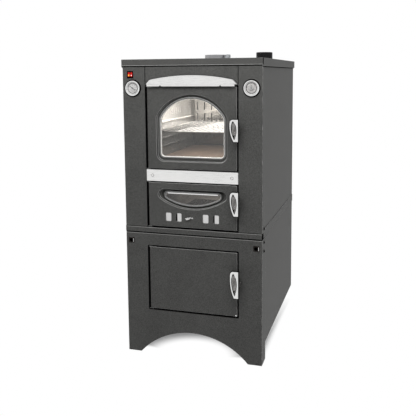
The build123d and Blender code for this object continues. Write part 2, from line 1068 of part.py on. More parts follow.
def pressed_dish(outer, inner):
    """Dish pressed into a door: wall down from the outer edge, floor, and bead round the glass."""
    with BuildPart() as dish:
        with BuildSketch(facing(front + door_edge_radius)):
            add(grown(outer, dish_sheet))
            add(outer, mode=Mode.SUBTRACT)
        extrude(amount=-(window_depth - door_edge_radius))
        with BuildSketch(facing(glass_front - dish_sheet)):
            add(outer)
            add(inner, mode=Mode.SUBTRACT)
        extrude(amount=-dish_sheet)
        with BuildSketch(facing(glass_front - dish_sheet - bead_height)):
            add(grown(inner, bead_width))
            add(inner, mode=Mode.SUBTRACT)
        extrude(amount=-bead_height)
    return dish.part


oven_pan = door_pan(door_half, oven_door_bottom, oven_door_top, door_thick, oven_handle_z)
fire_pan = door_pan(door_half, fire_door_bottom, fire_door_top, door_thick, fire_handle_z)
oven_dish = pressed_dish(window_outline, glass_outline)
fire_dish = pressed_dish(fire_window_outline, fire_glass_outline)
oven_glass_edge = grown(glass_outline, glass_lap)
oven_glass_rim = grown(glass_outline, -glass_rim)
fire_glass_edge = grown(fire_glass_outline, glass_lap)
fire_glass_rim = grown(fire_glass_outline, -glass_rim)

with BuildPart() as oven_door_panel:
    add(oven_pan)
    with BuildSketch(facing(front)):
        add(window_outline)
    extrude(amount=-door_sheet, mode=Mode.SUBTRACT)
    add(oven_dish)
save(oven_door_panel, "oven_door_panel")

with BuildPart() as oven_door_glass:
    with BuildSketch(facing(glass_front)):
        add(oven_glass_edge)
    extrude(amount=-glass_sheet)
save(oven_door_glass, "oven_door_glass")

with BuildPart() as oven_door_liner:
    with BuildSketch(facing(liner_front)):
        with Locations((0, (oven_door_bottom + oven_door_top) / 2)):
            Rectangle(
                2 * (door_half - liner_inset),
                oven_door_top - oven_door_bottom - 2 * liner_inset,
            )
        add(oven_glass_rim, mode=Mode.SUBTRACT)
    extrude(amount=-liner_sheet)
save(oven_door_liner, "oven_door_liner")

gasket_outer = box_outline(
    gasket_half,
    oven_door_bottom + gasket_from_door,
    oven_door_top - gasket_from_door,
    gasket_corner,
)
gasket_inner = grown(gasket_outer, -gasket_width)

with BuildPart() as oven_door_gasket:
    with BuildSketch(facing(liner_back)):
        add(gasket_outer)
        add(gasket_inner, mode=Mode.SUBTRACT)
    extrude(amount=-(seal_back - liner_back))
save(oven_door_gasket, "oven_door_gasket")

# Firebox door: vents, shutter guides and the slot for the shutter's tab
shutter_half_height = vent_height / 2 + shutter_margin
shutter_front = front + door_sheet + shutter_gap
shutter_left = vent_x[0] - vent_width / 2 - shutter_lap - shutter_narrow - shutter_margin
shutter_right = vent_x[3] + vent_width / 2 + shutter_close + shutter_margin
tab_travel = shutter_open + shutter_close

with BuildPart() as firebox_door_panel:
    add(fire_pan)
    with BuildSketch(facing(front)):
        add(fire_window_outline)
        for x in vent_x:
            with Locations((x, vent_z)):
                RectangleRounded(vent_width, vent_height, vent_corner)
        with Locations((tab_x + (shutter_open - shutter_close) / 2, vent_z)):
            SlotCenterToCenter(tab_travel, 2 * (tab_pin_radius + tab_slot_play))
    extrude(amount=-door_sheet, mode=Mode.SUBTRACT)
    add(fire_dish)
    for way in (-1, 1):
        edge = vent_z + way * (shutter_half_height + shutter_gap)
        block(
            (shutter_left - shutter_close, shutter_right + shutter_open),
            (front + door_sheet, front + door_sheet + guide_depth),
            tuple(sorted((edge, edge + way * guide_width))),
        )
        block(
            (shutter_left - shutter_close, shutter_right + shutter_open),
            (shutter_front + shutter_sheet + shutter_gap, front + door_sheet + guide_depth),
            tuple(sorted((edge, edge - way * guide_lip))),
        )
save(firebox_door_panel, "firebox_door_panel")

with BuildPart() as firebox_door_glass:
    with BuildSketch(facing(glass_front)):
        add(fire_glass_edge)
    extrude(amount=-glass_sheet)
save(firebox_door_glass, "firebox_door_glass")

rim_outer = box_outline(
    rim_half,
    fire_door_bottom + rim_from_door,
    fire_door_top - rim_from_door,
    rim_from_door,
)
rim_inner = grown(rim_outer, -rim_width)

with BuildPart() as firebox_door_liner:
    with BuildSketch(facing(liner_front)):
        with Locations((0, (fire_door_bottom + fire_door_top) / 2)):
            Rectangle(
                2 * (door_half - liner_inset),
                fire_door_top - fire_door_bottom - 2 * liner_inset,
            )
        add(fire_glass_rim, mode=Mode.SUBTRACT)
        with Locations((0, vent_z)):
            Rectangle(vent_x[3] - vent_x[0] + vent_width, vent_height, mode=Mode.SUBTRACT)
    extrude(amount=-liner_sheet)
    with BuildSketch(facing(liner_back)):
        add(rim_outer)
        add(rim_inner, mode=Mode.SUBTRACT)
    extrude(amount=-(seal_back - liner_back))
save(firebox_door_liner, "firebox_door_liner")

with BuildPart() as air_slide:
    block(
        (shutter_left, shutter_right),
        (shutter_front, shutter_front + shutter_sheet),
        (vent_z - shutter_half_height, vent_z + shutter_half_height),
    )
    with BuildSketch(facing(shutter_front)):
        for i, x in enumerate(vent_x):
            left_edge = x - vent_width / 2
            wide = i % 2
            opening = shutter_wide if wide else shutter_narrow
            right = left_edge + (shutter_close if wide else -shutter_lap)
            with Locations((right - opening / 2, vent_z)):
                Rectangle(opening, vent_height)
    extrude(amount=-shutter_sheet, mode=Mode.SUBTRACT)
    rod(tab_x, vent_z, (front - tab_reach, shutter_front), tab_pin_radius)
    rod(tab_x, vent_z, (front - tab_reach, front - tab_reach + 2 * tab_sheet), 2 * tab_pin_radius)
    with BuildSketch(facing(front - tab_reach + tab_sheet / 2)):
        with BuildLine():
            Polyline(
                (tab_x - tab_width / 2, vent_z),
                (tab_x - tab_width / 4, vent_z - tab_height / 2),
                (tab_x + tab_width / 4, vent_z - tab_height / 4),
                (tab_x + tab_width / 2, vent_z + tab_height / 2),
                (tab_x, vent_z + tab_height / 8),
                close=True,
            )
        make_face()
    extrude(amount=-tab_sheet)
save(air_slide, "air_slide")

storage_pan = door_pan(
    storage_door_half, storage_door_bottom, storage_door_top, storage_door_thick, storage_handle_z
)

with BuildPart() as storage_door_panel:
    add(storage_pan)
save(storage_door_panel, "storage_door_panel")


def latch_lever(centre, grip):
    """Die-cast handle with its hub, tongue and ribbed field."""
    outline = handle_outline(centre, grip)
    field = grown(outline, -handle_rim)
    plate_front = front - handle_reach
    plate_back = plate_front + handle_plate
    rib_x = handle_right - handle_width / 2
    rib_pitch = (handle_width - 2 * handle_rim) / (handle_ribs + 1)
    with BuildSketch() as ribs:
        with Locations((rib_x, centre)):
            with GridLocations(rib_pitch, 1, handle_ribs, 1):
                Rectangle(handle_rib, 2 * max(grip))
        add(field, mode=Mode.INTERSECT)
    with BuildPart() as lever:
        with BuildSketch(facing(plate_front)):
            add(outline)
        extrude(amount=-handle_plate)
        fillet(lever.faces().sort_by(Axis.Y)[0].edges(), door_edge_radius)
        with BuildSketch(facing(plate_front)):
            add(field)
        extrude(amount=-handle_recess, mode=Mode.SUBTRACT)
        with BuildSketch(facing(plate_front + handle_recess - handle_rib_height)):
            add(ribs.sketch)
        extrude(amount=-handle_rib_height)
        block(
            (lever_x - lever_web_half, lever_x + lever_web_half),
            (plate_back, lever_y),
            (centre - lever_hub_half, centre + lever_hub_half),
        )
        post(lever_x, lever_y, (centre - lever_hub_half, centre + lever_hub_half), lever_hub_radius)
        block(
            (lever_x - lever_pin_radius, lever_x + tongue_length),
            (lever_y + tongue_near, lever_y + tongue_far),
            (centre - tongue_half_height, centre + tongue_half_height),
        )
        post(
            lever_x,
            lever_y,
            (centre - lever_hub_half, centre + lever_hub_half),
            lever_pin_radius + running_fit,
            mode=Mode.SUBTRACT,
        )
    return lever


save(latch_lever(oven_handle_z, oven_grip), "oven_door_handle")
save(latch_lever(fire_handle_z, fire_grip), "firebox_door_handle")
save(latch_lever(storage_handle_z, storage_grip), "storage_door_handle")


# Baking chamber

with BuildPart() as baking_chamber:
    block(
        (-chamber_half - inner_sheet, chamber_half + inner_sheet),
        (frame_back, chamber_back + inner_sheet),
        (chamber_floor - inner_sheet, chamber_roof + inner_sheet),
    )
    block(
        (-chamber_half, chamber_half),
        (frame_back, chamber_back),
        (chamber_floor, chamber_roof),
        mode=Mode.SUBTRACT,
    )
    rod(
        0,
        fan_z,
        (chamber_back, chamber_back + inner_sheet),
        shaft_radius + shaft_clearance,
        mode=Mode.SUBTRACT,
    )
    crossbar(
        front + lamp_from_front,
        lamp_z,
        (chamber_half, chamber_half + inner_sheet),
        lamp_radius + seat_fit,
        mode=Mode.SUBTRACT,
    )
    post(
        vent_cap_x,
        pipe_y,
        (chamber_roof, chamber_roof + inner_sheet),
        vent_pipe_radius - inner_sheet,
        mode=Mode.SUBTRACT,
    )
save(baking_chamber, "baking_chamber")

hearth_front = frame_back + hearth_margin
hearth_back = fan_cover_y - hearth_margin
hearth_middle = (hearth_front + hearth_back) / 2

with BuildPart() as hearth_slabs:
    for side in (-1, 1):
        for near, far in (
            (hearth_front, hearth_middle - hearth_joint / 2),
            (hearth_middle + hearth_joint / 2, hearth_back),
        ):
            block(
                both_sides(side, hearth_joint / 2, chamber_half - hearth_margin),
                (near, far),
                (chamber_floor, chamber_floor + hearth_thick),
            )
save(hearth_slabs, "hearth_slabs")

guide_inner = chamber_half - guide_sheet

with BuildPart() as rack_guides:
    block(
        (guide_inner, chamber_half),
        (frame_back + guide_start, chamber_back - guide_from_wall),
        (guide_bottom, guide_top),
    )
    for step in range(-ledges_below, ledges_above + 1):
        height = shelf_z + step * ledge_pitch
        block(
            (guide_inner - ledge_width, guide_inner),
            (frame_back + guide_start, chamber_back - guide_from_wall),
            (height, height + guide_sheet),
        )
    for place in spread(guide_slots, guide_slot_pitch):
        middle = front + guide_slot_from_front + place
        block(
            (guide_inner, chamber_half),
            (middle - guide_slot_width / 2, middle + guide_slot_width / 2),
            (guide_slot_z - guide_slot_height / 2, guide_slot_z + guide_slot_height / 2),
            mode=Mode.SUBTRACT,
        )
    mirror(about=Plane.YZ)
save(rack_guides, "rack_guides")

shelf_half = guide_inner - ledge_width / 2
shelf_front = frame_back + shelf_start
shelf_back = chamber_back - shelf_from_wall
shelf_level = shelf_rest + shelf_frame_radius

with BuildPart() as wire_shelf:
    for x in (-shelf_half, shelf_half):
        rod(x, shelf_level, (shelf_front, shelf_back), shelf_frame_radius)
    for y in (shelf_front, (shelf_front + shelf_back) / 2, shelf_back):
        crossbar(
            y,
            shelf_level,
            (-shelf_half - shelf_frame_radius, shelf_half + shelf_frame_radius),
            shelf_frame_radius,
        )
    for x in spread(shelf_wire_count, 2 * shelf_half / (shelf_wire_count + 1)):
        rod(x, shelf_level + shelf_wire_radius, (shelf_front, shelf_back), shelf_wire_radius)
save(wire_shelf, "wire_shelf")

with BuildPart() as fan_cover:
    block(
        (-fan_cover_half, fan_cover_half),
        (fan_cover_y, chamber_back),
        (fan_cover_bottom, fan_cover_top),
    )
    block(
        (-fan_cover_half + inner_sheet, fan_cover_half - inner_sheet),
        (fan_cover_y + inner_sheet, chamber_back),
        (fan_cover_bottom, fan_cover_top),
        mode=Mode.SUBTRACT,
    )
    with BuildSketch(facing(fan_cover_y)):
        for side in (-1, 1):
            for x in fan_slot_x:
                with Locations(*((side * x, (fan_z - row)) for row in spread(3, fan_slot_pitch))):
                    SlotOverall(fan_slot_height, fan_slot_width, rotation=90)
        for ring in range(1, intake_rings + 1):
            with Locations((0, fan_z)):
                with PolarLocations(ring * intake_ring_pitch, 6 * ring):
                    Circle(intake_hole_radius)
    extrude(amount=-inner_sheet, mode=Mode.SUBTRACT)
save(fan_cover, "fan_cover")

impeller_back = chamber_back - impeller_wall_gap
impeller_front = impeller_back - impeller_blade_width
blade_start = impeller_hub_radius - impeller_disc
blade_length = impeller_radius - impeller_disc - blade_start

with BuildPart() as fan_impeller:
    rod(0, fan_z, (impeller_back - impeller_disc, impeller_back), impeller_radius)
    rod(0, fan_z, (impeller_front, impeller_back), impeller_hub_radius)
    with BuildSketch(facing(impeller_front)):
        with Locations((0, fan_z)):
            with PolarLocations(blade_start + blade_length / 2, impeller_blades):
                Rectangle(blade_length, impeller_disc)
    extrude(amount=-(impeller_blade_width - impeller_disc))
    rod(0, fan_z, (impeller_back, motor_front + motor_bore_depth), shaft_radius)
save(fan_impeller, "fan_impeller")

with BuildPart() as fan_motor:
    rod(0, fan_z, (motor_front, motor_front + motor_length), motor_radius)
    block(
        (-motor_plate_half, motor_plate_half),
        (motor_front, motor_front + motor_plate),
        (fan_z - motor_plate_half, fan_z + motor_plate_half),
    )
    for x in spread(2, motor_leg_spacing):
        for z in spread(2, motor_leg_spacing):
            rod(x, fan_z + z, (jacket_back, motor_front), motor_leg_radius)
    rod(
        0,
        fan_z,
        (motor_front, motor_front + motor_bore_depth + axial_play),
        shaft_radius + running_fit,
        mode=Mode.SUBTRACT,
    )
save(fan_motor, "fan_motor")

with BuildPart() as chamber_lamp:
    with Locations((chamber_half, front + lamp_from_front, lamp_z)):
        Sphere(lamp_dome_radius)
    block(
        (chamber_half, jacket_half),
        (front + lamp_from_front - lamp_dome_radius, front + lamp_from_front + lamp_dome_radius),
        (lamp_z - lamp_dome_radius, lamp_z + lamp_dome_radius),
        mode=Mode.SUBTRACT,
    )
    crossbar(
        front + lamp_from_front,
        lamp_z,
        (chamber_half - inner_sheet, jacket_half - inner_sheet),
        lamp_radius,
    )
save(chamber_lamp, "chamber_lamp")


# Smoke jacket, insulation and flue

with BuildPart() as smoke_jacket:
    block((-jacket_half, jacket_half), (frame_back, jacket_back), (jacket_bottom, jacket_top))
    block(
        (-jacket_half + inner_sheet, jacket_half - inner_sheet),
        (frame_back, jacket_back - inner_sheet),
        (jacket_bottom + inner_sheet, jacket_top - inner_sheet),
        mode=Mode.SUBTRACT,
    )
    block(
        (-jacket_throat_half, jacket_throat_half),
        (frame_back + jacket_throat_from, frame_back + jacket_throat_to),
        (jacket_bottom, jacket_bottom + inner_sheet),
        mode=Mode.SUBTRACT,
    )
    post(
        0,
        flue_y,
        (jacket_top - inner_sheet, jacket_top),
        duct_radius - flue_wall,
        mode=Mode.SUBTRACT,
    )
    post(
        vent_cap_x,
        pipe_y,
        (jacket_top - inner_sheet, jacket_top),
        vent_pipe_radius + seat_fit,
        mode=Mode.SUBTRACT,
    )
    rod(
        0,
        fan_z,
        (jacket_back - inner_sheet, jacket_back),
        shaft_radius + shaft_clearance,
        mode=Mode.SUBTRACT,
    )
    for side in (-1, 1):
        for place in spread(3, (chamber_depth - bearer_length) / 2):
            middle = frame_back + chamber_depth / 2 + place
            block(
                both_sides(side, bearer_from_axis, bearer_from_axis + bearer_width),
                (middle - bearer_length / 2, middle + bearer_length / 2),
                (jacket_bottom + inner_sheet, chamber_floor - inner_sheet),
            )
save(smoke_jacket, "smoke_jacket")

wool_front = front + insulation_start

with BuildPart() as insulation:
    for side in (-1, 1):
        block(
            both_sides(side, jacket_half, side_inner - insulation_gap),
            (wool_front, motor_front),
            (insulation_bottom, insulation_top),
        )
    block((-jacket_half, jacket_half), (wool_front, motor_front), (jacket_top, insulation_top))
    block((-jacket_half, jacket_half), (jacket_back, motor_front), (insulation_bottom, jacket_top))
    block((-firebox_half, firebox_half), (frame_back, firebox_back), (tray_top, board_top))
    post(0, flue_y, (jacket_top, insulation_top), duct_radius + seat_fit, mode=Mode.SUBTRACT)
    post(
        vent_cap_x,
        pipe_y,
        (jacket_top, insulation_top),
        vent_pipe_radius + seat_fit,
        mode=Mode.SUBTRACT,
    )
    rod(
        0,
        fan_z,
        (jacket_back, motor_front),
        shaft_radius + shaft_clearance,
        mode=Mode.SUBTRACT,
    )
    for x in spread(2, motor_leg_spacing):
        for z in spread(2, motor_leg_spacing):
            rod(x, fan_z + z, (jacket_back, motor_front), motor_leg_radius + seat_fit, mode=Mode.SUBTRACT)
save(insulation, "insulation")

# The damper plate swings from beside the flue to under it about an upright spindle
plate_x = damper_x + damper_pivot[1]
plate_y = damper_y - damper_pivot[0]
housing_left = damper_x - damper_arm - damper_plate_radius - damper_wall_gap
housing_right = plate_x + damper_plate_radius + damper_wall_gap
housing_front = plate_y - damper_plate_radius - damper_wall_gap
housing_back = flue_y + flue_radius + damper_wall_gap
housing_floor = housing_bottom + inner_sheet
housing_roof = case_top - inner_sheet

with BuildPart() as flue_duct:
    post(0, flue_y, (jacket_top, housing_bottom), duct_radius)
    block((housing_left, housing_right), (housing_front, housing_back), (housing_bottom, case_top))
    block(
        (housing_left + inner_sheet, housing_right - inner_sheet),
        (housing_front + inner_sheet, housing_back - inner_sheet),
        (housing_floor, housing_roof),
        mode=Mode.SUBTRACT,
    )
    post(0, flue_y, (jacket_top, case_top), duct_radius - flue_wall, mode=Mode.SUBTRACT)
    post(
        damper_x,
        damper_y,
        (housing_roof, case_top),
        damper_spindle_radius + running_fit,
        mode=Mode.SUBTRACT,
    )
save(flue_duct, "flue_duct")

plate_bottom = housing_floor + damper_play

with BuildPart() as damper_plate:
    post(plate_x, plate_y, (plate_bottom, plate_bottom + damper_sheet), damper_plate_radius)
    with BuildSketch(Plane.XY.offset(plate_bottom)):
        with BuildLine():
            arm = Line((plate_x, plate_y), (damper_x, damper_y))
        trace(arm, line_width=2 * damper_arm_half)
    extrude(amount=damper_sheet)
    post(damper_x, damper_y, (housing_floor + seal_gap, housing_roof - damper_play), damper_hub_radius)
    post(damper_x, damper_y, (housing_roof - damper_play, knob_bottom), damper_spindle_radius)
    with BuildSketch(Plane.XY.offset(knob_bottom)):
        with Locations((damper_x, damper_y)):
            Circle(knob_radius)
    extrude(amount=knob_top - knob_bottom)
    fillet(damper_plate.faces().sort_by(Axis.Z)[-1].edges(), knob_edge)
save(damper_plate, "damper_plate")

with BuildPart() as flue_collar:
    post(0, flue_y, (case_top, collar_top), flue_radius)
    post(0, flue_y, (cover_top, cover_top + collar_flange), collar_flange_radius)
    post(0, flue_y, (case_top, collar_top), flue_radius - flue_wall, mode=Mode.SUBTRACT)
save(flue_collar, "flue_collar")

neck_bottom = cover_top + vent_flange
neck_top = vent_cap_top - vent_cap_roof - seal_gap


def window_places(turn):
    """Places of the vent windows round the neck, all turned on by the given angle."""
    height = (vent_window_bottom + vent_window_top) / 2
    places = []
    for angle in vent_window_angles:
        x = vent_cap_x + vent_neck_radius * cos(radians(angle + turn))
        y = pipe_y + vent_neck_radius * sin(radians(angle + turn))
        places.append(Location((x, y, height), (0, 0, angle + turn)))
    return places


with BuildPart() as steam_pipe:
    post(vent_cap_x, pipe_y, (chamber_roof + inner_sheet, neck_bottom), vent_pipe_radius)
    post(
        vent_cap_x,
        pipe_y,
        (chamber_roof + inner_sheet, neck_bottom),
        vent_pipe_radius - inner_sheet,
        mode=Mode.SUBTRACT,
    )
save(steam_pipe, "steam_pipe")

with BuildPart() as steam_vent_base:
    post(vent_cap_x, pipe_y, (cover_top, neck_bottom), vent_flange_radius)
    post(vent_cap_x, pipe_y, (neck_bottom, neck_top), vent_neck_radius)
    post(
        vent_cap_x,
        pipe_y,
        (neck_bottom, neck_top),
        vent_neck_radius - door_sheet,
        mode=Mode.SUBTRACT,
    )
    post(vent_cap_x, pipe_y, (cover_top, neck_bottom), vent_pipe_radius + seat_fit, mode=Mode.SUBTRACT)
    with Locations(*window_places(0)):
        Box(vent_window_cut, vent_window_width, vent_window_height, mode=Mode.SUBTRACT)
save(steam_vent_base, "steam_vent_base")

with BuildPart() as steam_vent_cap:
    post(vent_cap_x, pipe_y, (neck_bottom + seal_gap, vent_cap_top), vent_cap_radius)
    fillet(steam_vent_cap.faces().sort_by(Axis.Z)[-1].edges(), knob_edge)
    post(
        vent_cap_x,
        pipe_y,
        (neck_bottom + seal_gap, vent_cap_top - vent_cap_roof),
        vent_neck_radius + running_fit,
        mode=Mode.SUBTRACT,
    )
    with Locations(*window_places(vent_cap_turn)):
        Box(vent_window_cut, vent_window_width, vent_window_height, mode=Mode.SUBTRACT)
save(steam_vent_cap, "steam_vent_cap")


# Firebox

brick_wall = firebox_half - firebox_sheet
brick_back = firebox_back - firebox_sheet
brick_floor = fire_mouth_bottom
pit_back = frame_back + pit_depth
grate_bottom = brick_floor_top - grate_thick
side_length = (brick_back - frame_back) / side_bricks
back_length = 2 * (brick_wall - brick_thick) / back_bricks

with BuildPart() as firebox_shell:
    block((-firebox_half, firebox_half), (frame_back, firebox_back), (board_top, jacket_bottom))
    block(
        (-brick_wall, brick_wall),
        (frame_back, brick_back),
        (brick_floor, jacket_bottom),
        mode=Mode.SUBTRACT,
    )
save(firebox_shell, "firebox_shell")

with BuildPart() as firebricks:
    for side in (-1, 1):
        block(
            both_sides(side, pit_half, brick_wall),
            (frame_back, brick_back),
            (brick_floor, brick_floor_top - brick_joint),
        )
    block(
        (-pit_half + brick_joint, pit_half - brick_joint),
        (pit_back, brick_back),
        (brick_floor, brick_floor_top - brick_joint),
    )
    block(
        (-pit_half - grate_ledge, pit_half + grate_ledge),
        (frame_back, pit_back + grate_ledge),
        (grate_bottom, brick_floor_top),
        mode=Mode.SUBTRACT,
    )
    for side in (-1, 1):
        for i in range(side_bricks):
            start = frame_back + i * side_length
            block(
                both_sides(side, brick_wall - brick_thick, brick_wall),
                (start + brick_joint, start + side_length),
                (brick_floor_top, brick_top),
            )
    for place in spread(back_bricks, back_length):
        block(
            (place - back_length / 2 + brick_joint, place + back_length / 2 - brick_joint),
            (brick_back - brick_thick, brick_back),
            (brick_floor_top, brick_top),
        )
save(firebricks, "firebricks")

grate_half = pit_half + grate_ledge - brick_joint
grate_length = pit_depth + grate_ledge - 2 * brick_joint
bar_pitch = (2 * (grate_half - grate_border)) / grate_bars

with BuildPart() as fire_grate:
    block(
        (-grate_half, grate_half),
        (frame_back + brick_joint, frame_back + brick_joint + grate_length),
        (grate_bottom, brick_floor_top),
    )
    with BuildSketch(Plane.XY.offset(grate_bottom)):
        with Locations((0, frame_back + brick_joint + grate_length / 2)):
            with GridLocations(bar_pitch, 1, grate_bars, 1):
                SlotOverall(grate_length - 2 * grate_border, grate_slot, rotation=90)
    extrude(amount=grate_thick, mode=Mode.SUBTRACT)
save(fire_grate, "fire_grate")

pan_bottom = brick_floor + seal_gap

with BuildPart() as ash_pan:
    block(
        (-ash_pan_half, ash_pan_half),
        (frame_back + brick_joint, frame_back + brick_joint + ash_pan_length),
        (pan_bottom, pan_bottom + ash_pan_height),
    )
    block(
        (-ash_pan_half + ash_pan_sheet, ash_pan_half - ash_pan_sheet),
        (
            frame_back + brick_joint + ash_pan_sheet,
            frame_back + brick_joint + ash_pan_length - ash_pan_sheet,
        ),
        (pan_bottom + ash_pan_sheet, pan_bottom + ash_pan_height),
        mode=Mode.SUBTRACT,
    )
save(ash_pan, "ash_pan")


# Gauges, switches and power inlet

def gauge_body(centre, post_radius, post_reach):
    """Round gauge with its bezel, face, can and the post that its pointer turns on."""
    face = front - gauge_reach + gauge_face_depth
    with BuildPart() as body:
        rod(centre, gauge_z, (front - gauge_reach, front), gauge_radius)
        fillet(body.faces().sort_by(Axis.Y)[0].edges(), door_edge_radius)
        rod(centre, gauge_z, (front, front + gauge_can_depth), gauge_can_radius)
        rod(centre, gauge_z, (front - gauge_reach, face), gauge_can_radius, mode=Mode.SUBTRACT)
        rod(centre, gauge_z, (face - post_reach, face), post_radius)
    return body


gauge_face = front - gauge_reach + gauge_face_depth
needle_back = gauge_face - needle_lift
save(gauge_body(-gauge_x, gauge_post_radius, needle_lift + 2 * needle_sheet), "thermometer_body")
save(gauge_body(gauge_x, timer_post_radius, timer_post_reach), "timer_body")

with BuildPart() as thermometer_needle:
    with BuildSketch(facing(needle_back - needle_sheet)):
        with Locations(Location((-gauge_x, gauge_z, 0), (0, 0, needle_angle))):
            Rectangle(needle_length, needle_width, align=(Align.MIN, Align.CENTER))
            Rectangle(needle_tail, 2 * needle_width, align=(Align.MAX, Align.CENTER))
            Circle(needle_hub_radius)
            Circle(gauge_post_radius + running_fit, mode=Mode.SUBTRACT)
    extrude(amount=-needle_sheet)
save(thermometer_needle, "thermometer_needle")

with BuildPart() as timer_knob:
    rod(
        gauge_x,
        gauge_z,
        (gauge_face - needle_lift - timer_knob_height, gauge_face - needle_lift),
        timer_knob_radius,
    )
    fillet(timer_knob.faces().sort_by(Axis.Y)[0].edges(), door_edge_radius)
    block(
        (gauge_x - timer_pointer_width / 2, gauge_x + timer_pointer_width / 2),
        (gauge_face - needle_lift - needle_sheet, gauge_face - needle_lift),
        (gauge_z, gauge_z + timer_pointer_length),
    )
    rod(
        gauge_x,
        gauge_z,
        (gauge_face - timer_post_reach - axial_play, gauge_face),
        timer_post_radius + running_fit,
        mode=Mode.SUBTRACT,
    )
save(timer_knob, "timer_knob")

rocker_places = [switch_x + place for place in spread(2, rocker_pitch)]
pocket_half_width = rocker_half_width + rocker_gap
pocket_half_height = rocker_radius + rocker_gap
pocket_back = rocker_y + rocker_half_depth + rocker_relief
pin_socket = pocket_half_width + rocker_pin_reach

with BuildPart() as switch_bezel:
    block(
        (switch_x - switch_plate_half_width, switch_x + switch_plate_half_width),
        (front - switch_plate, front),
        (switch_z - switch_plate_half_height, switch_z + switch_plate_half_height),
    )
    block(
        (switch_x - switch_body_half_width, switch_x + switch_body_half_width),
        (front, front + switch_body_depth),
        (switch_z - switch_body_half_height, switch_z + switch_body_half_height),
    )
    for x in rocker_places:
        block(
            (x - pocket_half_width, x + pocket_half_width),
            (front - switch_plate, pocket_back),
            (switch_z - pocket_half_height, switch_z + pocket_half_height),
            mode=Mode.SUBTRACT,
        )
        crossbar(
            rocker_y,
            switch_z,
            (x - pin_socket, x + pin_socket),
            rocker_pin_radius + running_fit,
            mode=Mode.SUBTRACT,
        )
save(switch_bezel, "switch_bezel")


def rocker(x):
    """Rocker tilted to its off side, round above and below about its trunnions."""
    tilted = Vector(0, 1, 0).rotate(Axis.X, -rocker_tilt)
    plane = Plane(origin=(x - rocker_half_width, rocker_y, switch_z), x_dir=tilted, z_dir=(1, 0, 0))
    with BuildPart() as button:
        with BuildSketch(plane):
            Circle(rocker_radius)
            Rectangle(2 * rocker_half_depth, 2 * rocker_radius, mode=Mode.INTERSECT)
        extrude(amount=2 * rocker_half_width)
        crossbar(
            rocker_y,
            switch_z,
            (x - pin_socket + running_fit, x + pin_socket - running_fit),
            rocker_pin_radius,
        )
    return button


save(rocker(rocker_places[0]), "rocker_left")
save(rocker(rocker_places[1]), "rocker_right")

with BuildPart() as power_inlet:
    block(
        (inlet_x - inlet_half_width, inlet_x + inlet_half_width),
        (back, back + inlet_flange),
        (inlet_z - inlet_half_height, inlet_z + inlet_half_height),
    )
    block(
        (inlet_x - inlet_body_half_width, inlet_x + inlet_body_half_width),
        (back - inlet_depth, back),
        (inlet_z - inlet_body_half_height, inlet_z + inlet_body_half_height),
    )
    block(
        (inlet_x - inlet_socket_half_width, inlet_x + inlet_socket_half_width),
        (back + inlet_flange - inlet_socket_depth, back + inlet_flange),
        (inlet_z - inlet_socket_half_height, inlet_z + inlet_socket_half_height),
        mode=Mode.SUBTRACT,
    )
    for place in (-inlet_pin_pitch, 0, inlet_pin_pitch):
        block(
            (inlet_x + place - inlet_pin_half, inlet_x + place + inlet_pin_half),
            (back + inlet_flange - inlet_socket_depth, back - inlet_flange),
            (inlet_z - inlet_pin_half_height, inlet_z + inlet_pin_half_height),
        )
save(power_inlet, "power_inlet")
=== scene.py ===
"""Wood-fired oven on its storage cart, dressed with its finishes and fine pieces, in a plain studio."""
import json
import math

import bmesh
import bpy
from mathutils import Matrix, Vector


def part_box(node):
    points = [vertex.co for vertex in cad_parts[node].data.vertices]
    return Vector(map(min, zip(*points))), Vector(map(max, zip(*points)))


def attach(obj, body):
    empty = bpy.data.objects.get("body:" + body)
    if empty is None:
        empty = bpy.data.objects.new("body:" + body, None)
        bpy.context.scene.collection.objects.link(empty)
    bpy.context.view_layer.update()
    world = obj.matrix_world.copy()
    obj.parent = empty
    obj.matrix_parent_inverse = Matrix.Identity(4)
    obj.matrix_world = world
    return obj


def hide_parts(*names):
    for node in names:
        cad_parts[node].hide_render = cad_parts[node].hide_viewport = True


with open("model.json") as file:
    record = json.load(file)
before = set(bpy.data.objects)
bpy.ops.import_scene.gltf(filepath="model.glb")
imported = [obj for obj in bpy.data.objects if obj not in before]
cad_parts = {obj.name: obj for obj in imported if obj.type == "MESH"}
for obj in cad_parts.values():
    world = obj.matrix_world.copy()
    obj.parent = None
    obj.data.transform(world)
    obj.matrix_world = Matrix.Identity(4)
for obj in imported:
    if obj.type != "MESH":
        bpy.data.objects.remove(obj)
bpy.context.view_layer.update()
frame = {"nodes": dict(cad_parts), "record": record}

nodes = frame["nodes"]
slot_of = {part["node"]: part["material_slot"] for part in frame["record"]["subparts"]}

# Everything is placed in millimetres and scaled to metres as it becomes an object
MM = 0.001


def limits(node):
    """Low and high corner of a CAD node in millimetres, to the micron."""
    return [Vector([round(value / MM, 3) for value in corner]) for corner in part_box(node)]


def heights(node):
    """Bottom and top of a CAD node."""
    low, high = limits(node)
    return low.z, high.z


def middle(node):
    """Centre of a CAD node, to the twentieth of a millimetre that a round node's facets leave certain."""
    low, high = limits(node)
    return Vector([round(20 * value) / 20 for value in (low + high) / 2])


FRONT = limits("cart_front")[0].y
BACK = limits("cart_sides")[1].y
CASE_HALF = limits("pilasters")[1].x
CART_TOP = limits("cart_front")[1].z
TRAY_TOP = limits("pilasters")[0].z
BAND_LOW, BAND_HIGH = heights("trim_band")
FASCIA_LOW = limits("top_fascia")[0].z
FASCIA_HALF = limits("top_fascia")[1].x
COVER_LOW, COVER_HIGH = limits("top_cover")
COVER_SKIRT = 31.5
SKIRT_LOW = COVER_HIGH.z - COVER_SKIRT
SIDES = (-1, 1)


# Finishes

EVEN = (1.0, 1.0, 1.0)
# Strength and depth in metres of the relief on a slick surface
SLICK = (0.05, 0.00005)
# Range of a noise that shows, what lies beyond it being flat
CONTRAST = (0.35, 0.65)
